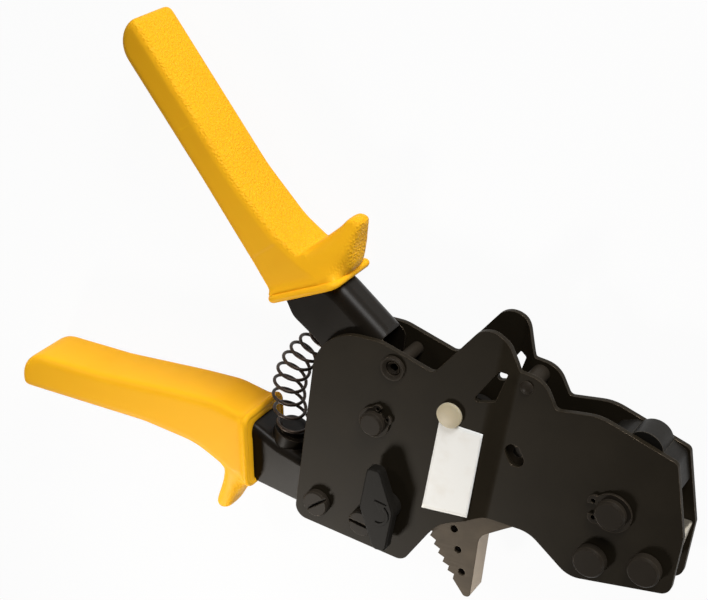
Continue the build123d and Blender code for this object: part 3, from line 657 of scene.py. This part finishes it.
@dataclass
class Workshop:
    """Shared helpers that make pieces and keep one material for each finish."""

    made: dict[str, bpy.types.Material] = field(default_factory=dict)

    def material(self, finish: str) -> bpy.types.Material:
        """Material of a named finish, built the first time it is asked for.

        Args:
            finish: Name of the finish.

        Returns:
            Its material.
        """
        if finish not in self.made:
            self.made[finish] = FINISHES[finish].material()
        return self.made[finish]

    def dress_node(self, node: str, finish: str) -> None:
        """Give a CAD node one finish.

        Args:
            node: Name of the CAD node.
            finish: Name of the finish.
        """
        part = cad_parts[node]
        part.data.materials.clear()
        part.data.materials.append(self.material(finish))
        log.info("dressed %s in %s", node, finish)

    def piece(self, name: str, mesh: bpy.types.Mesh, finish: str) -> bpy.types.Object:
        """Object at the origin from a finished mesh.

        Args:
            name: Name of the piece.
            mesh: Its mesh, in place.
            finish: Name of the finish.

        Returns:
            The linked object.
        """
        mesh.materials.clear()
        mesh.materials.append(self.material(finish))
        made = linked(name, mesh)
        log.info("made %s with %d faces", name, len(mesh.polygons))
        return made

    @staticmethod
    def relief(
        name: str, points: list[Vector], level: float, height: float, sunk: float
    ) -> bpy.types.Mesh:
        """Flat raised shape on a level face.

        Args:
            name: Name of the mesh.
            points: Its outline in millimetres.
            level: Height of the face in millimetres.
            height: How far it stands out in millimetres.
            sunk: How far it reaches into the face in millimetres.

        Returns:
            The mesh in place.
        """
        form = bmesh.new()
        ring = [form.verts.new(Vector((*point, level - sunk)) * MM) for point in points]
        face = form.faces.new(ring)
        face.normal_update()
        if face.normal.z < 0:
            face.normal_flip()
        raised = bmesh.ops.extrude_face_region(form, geom=[face])["geom"]
        tops = [item for item in raised if isinstance(item, bmesh.types.BMVert)]
        bmesh.ops.translate(form, verts=tops, vec=(0.0, 0.0, (height + sunk) * MM))
        bmesh.ops.recalc_face_normals(form, faces=form.faces)
        bmesh.ops.triangulate(form, faces=[f for f in form.faces if len(f.verts) > 4])
        return plain_mesh(name, form)

    @staticmethod
    def baked(source: bpy.types.Object) -> bpy.types.Mesh:
        """Plain mesh of an object with its modifiers; the object is removed.

        Args:
            source: Object to evaluate.

        Returns:
            The evaluated mesh.
        """
        bpy.context.view_layer.update()
        graph = bpy.context.evaluated_depsgraph_get()
        mesh = bpy.data.meshes.new_from_object(source.evaluated_get(graph), depsgraph=graph)
        source.modifiers.clear()
        bpy.data.objects.remove(source)
        return mesh


# Bow radius of a straight coil in millimetres. The coil's tree divides by it, so it isn't 0.
NO_BOW = 0.001
# Middle height between the side plates in millimetres.
MID_LEVEL = 12.5


@dataclass
class CoilSpring:
    """Round wire coil on an axis that is an arc followed by a straight run.

    Lengths are millimetres and angles degrees. The coil starts at foot_radius and narrows to radius
    over foot_share of its length, and the wire's turns face from facing_from to facing_to.
    """

    name: str
    node: str
    wire: float
    radius: float
    foot_radius: float
    turns: float
    way: Point
    run: float
    centre: Point = (0.0, 0.0)
    bow: float = NO_BOW
    bow_from: float = 0.0
    bow_to: float = 0.0
    facing_from: float = 0.0
    facing_to: float = 0.0
    level: float = MID_LEVEL
    foot_share: float = 0.45
    steps_per_turn: int = 28
    rim_steps: int = 12

    def tree(self, material: bpy.types.Material) -> bpy.types.NodeTree:
        """Geometry tree with named inputs for the coil's sizes.

        Args:
            material: Finish of the wire.

        Returns:
            The node group.
        """
        group = bpy.data.node_groups.new(self.name + "_coil", "GeometryNodeTree")
        for name, value in self._inputs().items():
            made = group.interface.new_socket(name, in_out="INPUT", socket_type="NodeSocketFloat")
            made.default_value = value
        group.interface.new_socket("Geometry", in_out="OUTPUT", socket_type="NodeSocketGeometry")
        t = Tree(group)
        given = t.node("NodeGroupInput")
        size = {name: Term(t, given.outputs[name]) for name in self._inputs()}
        line = t.node("GeometryNodeCurvePrimitiveLine")
        count = round(self.turns * self.steps_per_turn) + 1
        fine = t.node("GeometryNodeResampleCurve", None,
                      {"Curve": line.outputs[0], "Count": count})
        part = Term(t, t.node("GeometryNodeSplineParameter").outputs["Factor"])
        arc = size["Bow Radius"] * (size["Bow From"] - size["Bow To"])
        gone = part * (arc + size["Run"])
        bent = t.math("MINIMUM", gone, arc)
        angle = size["Bow From"] - bent / size["Bow Radius"]
        past = gone - bent
        facing = size["Facing From"] + (size["Facing To"] - size["Facing From"]) * part
        turn = part * size["Turns"] * math.tau
        flare = t.math("MAXIMUM", 1.0 - part / size["Foot Share"], 0.0)
        radius = size["Coil Radius"] + (size["Foot Radius"] - size["Coil Radius"]) * flare
        out = radius * t.math("COSINE", turn)
        along_x = size["Bow Radius"] * t.math("COSINE", angle) + past * self.way[0]
        along_y = size["Bow Radius"] * t.math("SINE", angle) + past * self.way[1]
        spot = t.node("ShaderNodeCombineXYZ", None, {
            0: self.centre[0] * MM + along_x - out * t.math("SINE", facing),
            1: self.centre[1] * MM + along_y + out * t.math("COSINE", facing),
            2: self.level * MM + radius * t.math("SINE", turn),
        })
        path = t.node("GeometryNodeSetPosition", None,
                      {"Geometry": fine.outputs[0], "Position": spot.outputs[0]})
        ring = t.node("GeometryNodeCurvePrimitiveCircle", None,
                      {"Resolution": self.rim_steps, "Radius": size["Wire Radius"]})
        sweep = {"Curve": path.outputs[0], "Profile Curve": ring.outputs[0], "Fill Caps": True}
        tube = t.node("GeometryNodeCurveToMesh", None, sweep)
        smooth = t.node("GeometryNodeSetShadeSmooth", None, {"Geometry": tube.outputs[0]})
        real = t.node("GeometryNodeRealizeInstances", None, {"Geometry": smooth.outputs[0]})
        painted = t.node("GeometryNodeSetMaterial", None,
                         {"Geometry": real.outputs[0], "Material": material})
        t.node("NodeGroupOutput", None, {0: painted.outputs[0]})
        return group

    def _inputs(self) -> dict[str, float]:
        """Named inputs of the tree.

        Returns:
            Values in metres and radians by name.
        """
        return {
            "Turns": self.turns,
            "Coil Radius": self.radius * MM,
            "Foot Radius": self.foot_radius * MM,
            "Foot Share": self.foot_share,
            "Wire Radius": self.wire * MM / 2,
            "Bow Radius": self.bow * MM,
            "Bow From": math.radians(self.bow_from),
            "Bow To": math.radians(self.bow_to),
            "Run": self.run * MM,
            "Facing From": math.radians(self.facing_from),
            "Facing To": math.radians(self.facing_to),
        }

    def build(self, shop: Workshop, stand: Matrix | None = None) -> bpy.types.Object:
        """Make the spring, in place of its CAD node.

        Args:
            shop: Shared helpers.
            stand: Placement of the finished mesh, where the coil isn't made in place.

        Returns:
            The spring's object.
        """
        carrier = linked(self.name + "_carrier", bpy.data.meshes.new(self.name + "_carrier"))
        group = self.tree(shop.material("spring"))
        coil = carrier.modifiers.new("coil", "NODES")
        coil.node_group = group
        for item in group.interface.items_tree:
            if item.in_out == "INPUT":
                coil[item.identifier] = self._inputs()[item.name]
        mesh = shop.baked(carrier)
        if stand is not None:
            mesh.transform(stand)
        made = shop.piece(self.name, mesh, "spring")
        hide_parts(self.node)
        return made


@dataclass
class Grip:
    """Moulded handle grip: the CAD grip softened like a moulding, with a bead round its collar.

    Plan points are millimetres. rim_near and rim_far are the collar's ends and outward is the way
    the pebbled face looks. flare has a plan point and a half width for each station between the
    collar and the guard's tip, guard the outward places of its foot, waist and tip, and panel the
    places along the handle where the bare panel starts and ends.
    """

    name: str
    node: str
    body: str
    rim_near: Point
    rim_far: Point
    outward: Point
    flare: tuple[Place, ...]
    guard: Place
    panel: Point | None = None
    level: float = MID_LEVEL
    half_width: float = 13.0
    rim_wire: float = 1.5
    rim_corner: float = 3.0
    corner_steps: int = 6
    bead_steps: int = 5
    grain_fade: float = 5.0 * MM
    grain_from: float = 0.3
    grain_full: float = 0.9
    panel_lift: float = 0.14 * MM
    panel_facing: float = 0.8
    weld: float = 1e-6
    voxel: float = 0.55 * MM
    softening_factor: float = 0.5
    softening: int = 30
    guard_softening: int = 90
    guard_depth: float = 22.0

    def rim_points(self) -> list[Vector]:
        """Closed line round the collar, with rounded corners.

        Returns:
            Points in metres.
        """
        near = Vector((*self.rim_near, self.level)) * MM
        far = Vector((*self.rim_far, self.level)) * MM
        along = (far - near).normalized()
        middle = (near + far) / 2
        half_long = (far - near).length / 2
        half_high = self.half_width * MM
        corner = self.rim_corner * MM
        points = []
        for quarter, (sx, sy) in enumerate(((1, 1), (-1, 1), (-1, -1), (1, -1))):
            heart = middle + along * sx * (half_long - corner) + UP * sy * (half_high - corner)
            for step in range(self.corner_steps + 1):
                angle = math.radians(90 * (quarter + step / self.corner_steps))
                points.append(heart + (along * math.cos(angle) + UP * math.sin(angle)) * corner)
        return points

    def bead(self, shop: Workshop) -> bpy.types.Object:
        """Make the bead, a tube along the rim line.

        Args:
            shop: Shared helpers.

        Returns:
            The bead's object.
        """
        curve = bpy.data.curves.new(self.name + "_bead", "CURVE")
        curve.dimensions = "3D"
        curve.bevel_depth = self.rim_wire * MM
        curve.bevel_resolution = self.bead_steps
        spline = curve.splines.new("POLY")
        points = self.rim_points()
        spline.points.add(len(points) - 1)
        for spot, place in zip(spline.points, points):
            spot.co = (*place, 1.0)
        spline.use_cyclic_u = True
        spline.use_smooth = True
        mesh = shop.baked(linked(self.name + "_bead_carrier", curve))
        made = shop.piece(self.name + "_bead", mesh, "grip")
        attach(made, self.body)
        return made

    def behind_collar(self, spot: Vector) -> float:
        """Distance of a point behind the collar's plane.

        Args:
            spot: The point in metres.

        Returns:
            The distance in metres, towards the handle's end.
        """
        near = Vector((*self.rim_near, self.level)) * MM
        far = Vector((*self.rim_far, self.level)) * MM
        back = (far - near).normalized().cross(UP)
        if back.x > 0:
            back = -back
        return (spot - far).dot(back)

    def flare_form(self, form: bmesh.types.BMesh) -> None:
        """Add the solid that runs from the collar up into the guard.

        Args:
            form: Mesh that it is added to.
        """
        corners = []
        for x, y, half in self.flare:
            corners.append(form.verts.new(Vector((x, y, self.level + half)) * MM))
            corners.append(form.verts.new(Vector((x, y, self.level - half)) * MM))
        hull = bmesh.ops.convex_hull(form, input=corners)
        bmesh.ops.delete(form, geom=hull["geom_interior"], context="VERTS")

    def shell(self) -> bpy.types.Mesh:
        """CAD grip and flare in one mesh, remeshed evenly and softened.

        Returns:
            The moulded mesh.
        """
        form = bmesh.new()
        form.from_mesh(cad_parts[self.node].data)
        bmesh.ops.remove_doubles(form, verts=form.verts, dist=self.weld)
        self.flare_form(form)
        carrier = linked(self.name + "_carrier", plain_mesh(self.name, form))
        remesh = carrier.modifiers.new("moulding", "REMESH")
        remesh.mode = "VOXEL"
        remesh.voxel_size = self.voxel
        remesh.use_smooth_shade = True
        soften = carrier.modifiers.new("softening", "SMOOTH")
        soften.factor = self.softening_factor
        soften.iterations = self.softening
        return Workshop.baked(carrier)

    def soften_guard(self, mesh: bpy.types.Mesh) -> None:
        """Round the guard off, most at its foot and less towards its tip.

        Args:
            mesh: The grip's mesh.
        """
        foot, waist, tip = (value * MM for value in self.guard)
        out = Vector((*self.outward, 0.0)).normalized()
        form = bmesh.new()
        form.from_mesh(mesh)
        near = []
        for vertex in form.verts:
            past_rim = self.behind_collar(vertex.co) / MM
            if vertex.co.dot(out) > foot and self.rim_wire / 2 < past_rim < self.guard_depth:
                near.append(vertex)
        every_way = {"use_axis_x": True, "use_axis_y": True, "use_axis_z": True}
        for stage in range(self.guard_softening):
            reach = tip + (waist - tip) * stage / self.guard_softening
            chosen = [vertex for vertex in near if vertex.co.dot(out) < reach]
            bmesh.ops.smooth_vert(form, verts=chosen, factor=self.softening_factor, **every_way)
        form.to_mesh(mesh)
        form.free()

    def raise_panel(self, mesh: bpy.types.Mesh) -> None:
        """Lift the blank panel on the near side by a hair.

        Args:
            mesh: The grip's mesh.
        """
        low, high = (value * MM for value in self.panel)
        along = Vector((self.outward[1], -self.outward[0], 0.0)).normalized()
        for vertex in mesh.vertices:
            if vertex.normal.z > self.panel_facing and low < vertex.co.dot(along) < high:
                vertex.co.z += self.panel_lift

    def mark_grain(self, mesh: bpy.types.Mesh) -> None:
        """Store how pebbled each point is.

        Args:
            mesh: The grip's mesh.
        """
        out = Vector((*self.outward, 0.0)).normalized()
        share = mesh.attributes.new(GRAIN_ATTRIBUTE, "FLOAT", "POINT")
        for index, vertex in enumerate(mesh.vertices):
            facing = vertex.normal.dot(out)
            past_rim = self.behind_collar(vertex.co) - self.rim_wire * MM
            level = (facing - self.grain_from) / (self.grain_full - self.grain_from)
            level = min(1.0, max(0.0, level))
            clear = min(1.0, max(0.0, past_rim / self.grain_fade))
            share.data[index].value = level * clear

    def build(self, shop: Workshop) -> bpy.types.Object:
        """Make the grip, in place of its CAD node, and its bead.

        Args:
            shop: Shared helpers.

        Returns:
            The grip's object.
        """
        mesh = self.shell()
        self.soften_guard(mesh)
        if self.panel is not None:
            self.raise_panel(mesh)
        self.mark_grain(mesh)
        made = shop.piece(self.name, mesh, "grip")
        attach(made, self.body)
        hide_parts(self.node)
        self.bead(shop)
        return made


# Unit vector in plan from the moving handle's axis to the outside.
HANDLE_OUT = (0.798, 0.603)


def beside_handle(along: float, out: float) -> Point:
    """Plan point from lengths along and out from the moving handle's axis, in millimetres."""
    x, y = HANDLE_OUT
    return (y * along + x * out, y * out - x * along)


GRIPS = (
    Grip(
        "upper_grip", "moving_handle_grip", "moving_handle",
        rim_near=(-42.6, 40.0), rim_far=(-15.8, 51.4),
        outward=HANDLE_OUT, guard=(13.0, 22.0, 40.0), panel=(-126.7, -74.0), flare=(
            (*beside_handle(-66.0, 11.5), 11.6),
            (*beside_handle(-56.0, 12.0), 12.0),
            (*beside_handle(-52.4, 18.0), 11.0),
            (*beside_handle(-51.8, 21.5), 6.0),
            (*beside_handle(-67.5, 34.0), 3.0),
            (*beside_handle(-64.5, 36.0), 2.2),
        ),
    ),
    Grip(
        "lower_grip", "fixed_handle_grip", "frame",
        rim_near=(-55.6, -13.4), rim_far=(-54.8, -41.6),
        outward=(0.0, -1.0), guard=(37.5, 46.5, 66.0), flare=(
            (-66.5, -36.0, 11.6),
            (-57.0, -36.5, 12.0),
            (-56.4, -42.0, 11.0),
            (-57.2, -44.6, 6.0),
            (-74.6, -59.6, 3.0),
            (-73.0, -62.4, 2.2),
        ),
    ),
)


@dataclass
class Sticker:
    """Bare white sticker on the front plate, lifting a little at one end."""

    corners: tuple[Point, ...] = ((26.2, 7.6), (43.3, 6.4), (38.1, -29.4), (19.9, -30.2))
    level: float = 23.0
    thickness: float = 0.14
    steps: int = 18
    gap: float = 0.02
    lift: float = 0.35
    lift_from: float = 0.8

    def curl(self, down: float, across: float) -> float:
        """How far the paper lifts off the plate.

        Args:
            down: Share of the way to the loose end.
            across: Share of the way over the width.

        Returns:
            The lift in millimetres.
        """
        loose = max(0.0, down - self.lift_from) / (1.0 - self.lift_from)
        return self.lift * loose ** 2 * (0.55 + 0.45 * math.cos(3.0 * across))

    def build(self, shop: Workshop) -> bpy.types.Object:
        """Make the sticker.

        Args:
            shop: Shared helpers.

        Returns:
            The sticker's object.
        """
        form = bmesh.new()
        top_left, top_right, low_right, low_left = (Vector((*c, 0.0)) for c in self.corners)
        rows = []
        for i in range(self.steps + 1):
            down = i / self.steps
            left = top_left.lerp(low_left, down)
            right = top_right.lerp(low_right, down)
            row = []
            for j in range(self.steps + 1):
                across = j / self.steps
                spot = left.lerp(right, across)
                height = self.level + self.gap + self.curl(down, across)
                row.append(form.verts.new(Vector((spot.x, spot.y, height)) * MM))
            rows.append(row)
        for i in range(self.steps):
            for j in range(self.steps):
                above, below = rows[i], rows[i + 1]
                face = form.faces.new((above[j], below[j], below[j + 1], above[j + 1]))
                face.smooth = True
        bmesh.ops.recalc_face_normals(form, faces=form.faces)
        carrier = linked("plate_sticker_carrier", plain_mesh("plate_sticker", form))
        wall = carrier.modifiers.new("paper", "SOLIDIFY")
        wall.thickness = self.thickness * MM
        wall.offset = 1.0
        made = shop.piece("plate_sticker", shop.baked(carrier), "sticker")
        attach(made, "frame")
        return made


@dataclass
class KnobArrow:
    """Raised curved arrow on the release knob that shows which way it turns."""

    centre: Point = (5.2, -34.4)
    level: float = 30.0
    radius: float = 3.9
    width: float = 1.1
    height: float = 0.3
    angle_from: float = -110.0
    angle_to: float = 54.0
    steps: int = 30
    head_half: float = 2.1
    head_length: float = 4.6
    sunk: float = 0.05

    def build(self, shop: Workshop) -> bpy.types.Object:
        """Make the arrow.

        Args:
            shop: Shared helpers.

        Returns:
            The arrow's object.
        """
        heart = Vector(self.centre)
        inner = []
        outer = []
        sweep = self.angle_to - self.angle_from
        for i in range(self.steps + 1):
            angle = math.radians(self.angle_from + sweep * i / self.steps)
            ray = Vector((math.cos(angle), math.sin(angle)))
            inner.append(heart + ray * (self.radius - self.width / 2))
            outer.append(heart + ray * (self.radius + self.width / 2))
        end = math.radians(self.angle_to)
        ray = Vector((math.cos(end), math.sin(end)))
        ahead = Vector((-math.sin(end), math.cos(end)))
        barbs = [
            heart + ray * (self.radius + self.head_half),
            heart + ray * self.radius + ahead * self.head_length,
            heart + ray * (self.radius - self.head_half),
        ]
        outline = outer + barbs + inner[::-1]
        mesh = shop.relief("knob_arrow", outline, self.level, self.height, self.sunk)
        made = shop.piece("knob_arrow", mesh, "knob")
        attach(made, "release")
        return made


@dataclass(frozen=True)
class PinCoil:
    """Small coil that stands round a pin; lengths in millimetres, foot the start of its axis."""

    name: str
    node: str
    body: str
    foot: Place
    radius: float
    turns: float
    rise: float
    wire: float

    def build(self, shop: Workshop) -> None:
        """Make the coil and let it ride on its body.

        Args:
            shop: Shared helpers.
        """
        coil = CoilSpring(
            self.name, self.node, wire=self.wire, radius=self.radius, foot_radius=self.radius,
            turns=self.turns, way=(1.0, 0.0), run=self.rise, level=0.0,
        )
        upright = Matrix.Rotation(math.radians(-90), 4, "Y")
        made = coil.build(shop, Matrix.Translation(Vector(self.foot) * MM) @ upright)
        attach(made, self.body)


@dataclass
class Springs:
    """All four springs of the tool; the ends of the two long ones are in metres."""

    handle: CoilSpring = field(default_factory=lambda: CoilSpring(
        "bowed_handle_spring", "handle_spring", wire=1.3, radius=5.85, foot_radius=6.8, turns=12,
        centre=(-11.404, -5.392), bow=31.5, bow_from=203.0, bow_to=127.0, way=(0.76, 0.65),
        run=26.67, facing_from=69.5, facing_to=50.3,
    ))
    handle_start: Place = (-0.0404, -0.0177, 0.0125)
    handle_end: Place = (-0.0155, 0.0325, 0.0125)
    jaw: CoilSpring = field(default_factory=lambda: CoilSpring(
        "jaw_pull_spring", "jaw_return_spring", wire=0.9, radius=2.4, foot_radius=2.4, turns=6,
        centre=(55.4, 7.4), bow_from=90.0, bow_to=90.0, way=(0.137, 0.9906), run=15.3,
        facing_from=82.1, facing_to=82.1,
    ))
    jaw_start: Place = (0.0575, 0.0226, 0.0125)
    jaw_end: Place = (0.0554, 0.0074, 0.0125)
    pawls: tuple[PinCoil, ...] = (
        PinCoil("drive_pawl_coil", "drive_pawl_spring", "drive_pawl", foot=(-6.0, -12.5, 17.0),
                radius=3.4, turns=1.5, rise=1.6, wire=0.7),
        PinCoil("holding_pawl_coil", "holding_pawl_spring", "frame", foot=(6.0, -32.8, 17.1),
                radius=4.5, turns=2, rise=3.3, wire=0.9),
    )

    def build(self, shop: Workshop) -> None:
        """Make the springs.

        Args:
            shop: Shared helpers.
        """
        bowed = self.handle.build(shop)
        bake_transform(bowed)
        pull = self.jaw.build(shop)
        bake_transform(pull)
        for coil in self.pawls:
            coil.build(shop)


@dataclass(frozen=True)
class Lamp:
    """Square area lamp with a grid that narrows its beam; lengths in metres, spread in degrees."""

    name: str
    place: Place
    aim: Place
    size: float
    watts: float
    spread: float = 180.0
    tint: Colour = (1.0, 1.0, 1.0)


@dataclass
class Studio:
    """Camera, floor, lamps and world."""

    eye: Place = (259.185 * MM, 298.824 * MM, 501.262 * MM)
    right: Place = (0.87248, 0.0, -0.48864)
    down: Place = (0.20421, -0.90849, 0.36462)
    focal_pixels: float = 1700.0
    image_width: float = 708.0
    sensor: float = 36.0
    backdrop_radius: float = 6.0
    backdrop_height: float = 1.4
    backdrop_sides: int = 64
    floor_grey: float = 0.82
    glow_share: float = 0.95
    fill: float = 0.08
    lamps: tuple[Lamp, ...] = (
        Lamp("near_lamp", place=(-0.396, -0.592, 0.435), aim=(-0.05, -0.085, 0.02), size=0.15,
             watts=0.2, spread=28.0, tint=(1.0, 0.95, 0.88)),
        Lamp("far_lamp", place=(0.5, 1.05, 0.3), aim=(0.0, 0.0, 0.02), size=0.5, watts=14.0),
        Lamp("side_lamp", place=(-0.5, 0.35, 0.45), aim=(-0.13, -0.03, 0.02), size=0.2,
             watts=0.055, spread=26.0),
        Lamp("jaw_end_lamp", place=(0.75, -0.35, 0.12), aim=(0.0, 0.05, 0.02), size=0.3,
             watts=1.6),
    )

    def camera(self) -> None:
        """Camera at the photograph's viewing angle."""
        lens = bpy.data.cameras.new("camera")
        lens.sensor_width = self.sensor
        lens.lens = self.focal_pixels / self.image_width * self.sensor
        lens.clip_start = 0.01
        lens.clip_end = 20.0
        made = linked("camera", lens)
        across = Vector(self.right).normalized()
        up = -Vector(self.down).normalized()
        back = across.cross(up)
        turn = Matrix((across, up, back)).transposed().to_4x4()
        made.matrix_world = Matrix.Translation(Vector(self.eye)) @ turn
        bpy.context.scene.camera = made

    def floor(self, level: float) -> None:
        """Pale floor that keeps the tool's shadow, with a low backdrop all round.

        Args:
            level: Height of the floor in metres.
        """
        form = bmesh.new()
        bmesh.ops.create_circle(
            form, cap_ends=True, segments=self.backdrop_sides, radius=self.backdrop_radius
        )
        rim = bmesh.ops.extrude_edge_only(form, edges=form.edges[:])["geom"]
        tops = [item for item in rim if isinstance(item, bmesh.types.BMVert)]
        bmesh.ops.translate(form, verts=tops, vec=(0.0, 0.0, self.backdrop_height))
        bmesh.ops.translate(form, verts=form.verts, vec=(0.0, 0.0, level))
        made = linked("floor", plain_mesh("floor", form))
        material = bpy.data.materials.new("floor_white")
        material.use_nodes = True
        material.node_tree.nodes.clear()
        t = Tree(material.node_tree)
        matt = t.node("ShaderNodeBsdfDiffuse", None, {"Color": (*(self.floor_grey,) * 3, 1.0)})
        glow = t.node("ShaderNodeEmission", None, {"Color": (1.0, 1.0, 1.0, 1.0), "Strength": 1.0})
        share = self.seen(t) * self.glow_share
        mixed = t.node("ShaderNodeMixShader", None,
                       {0: share, 1: matt.outputs[0], 2: glow.outputs[0]})
        t.node("ShaderNodeOutputMaterial", None, {"Surface": mixed.outputs[0]})
        made.data.materials.append(material)
        made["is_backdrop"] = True

    @staticmethod
    def seen(t: Tree) -> Term:
        """Mask of the rays that show the background.

        Args:
            t: Tree that reads it.

        Returns:
            1 for rays from the camera, a glossy face or clear plastic, else 0.
        """
        path = t.node("ShaderNodeLightPath")
        camera = Term(t, path.outputs["Is Camera Ray"])
        glossy = Term(t, path.outputs["Is Glossy Ray"])
        clear = Term(t, path.outputs["Is Transmission Ray"])
        return t.math("MINIMUM", camera + glossy + clear, 1.0)

    def world(self) -> None:
        """Even fill light from all round."""
        made = bpy.data.worlds.new("studio")
        bpy.context.scene.world = made
        made.use_nodes = True
        made.node_tree.nodes.clear()
        t = Tree(made.node_tree)
        sky = t.node("ShaderNodeBackground", None,
                     {"Color": (1.0, 1.0, 1.0, 1.0), "Strength": self.fill})
        t.node("ShaderNodeOutputWorld", None, {"Surface": sky.outputs[0]})

    @staticmethod
    def lamp(light: Lamp) -> None:
        """Hang one square area lamp.

        Args:
            light: What to hang, and where.
        """
        data = bpy.data.lights.new(light.name, "AREA")
        data.shape = "SQUARE"
        data.size = light.size
        data.energy = light.watts
        data.spread = math.radians(light.spread)
        data.color = light.tint
        made = linked(light.name, data)
        made.location = light.place
        made.rotation_mode = "QUATERNION"
        back = Vector(light.place) - Vector(light.aim)
        made.rotation_quaternion = back.to_track_quat("Z", "Y")

    def build(self, floor_level: float) -> None:
        """Set up the whole stage.

        Args:
            floor_level: Height of the tool's lowest point in metres.
        """
        self.camera()
        self.floor(floor_level)
        self.world()
        for light in self.lamps:
            self.lamp(light)
        bpy.context.scene.view_settings.view_transform = "Standard"


def main() -> None:
    """Build and dress everything in order."""
    logging.basicConfig(level=logging.INFO, format="%(message)s")
    shop = Workshop()
    for finish, nodes in NODE_FINISH.items():
        for node in nodes:
            shop.dress_node(node, finish)
    Springs().build(shop)
    for grip in GRIPS:
        grip.build(shop)
    Sticker().build(shop)
    KnobArrow().build(shop)
    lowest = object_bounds()[0][2]
    Studio().build(lowest)


if __name__ == "__main__":
    main()
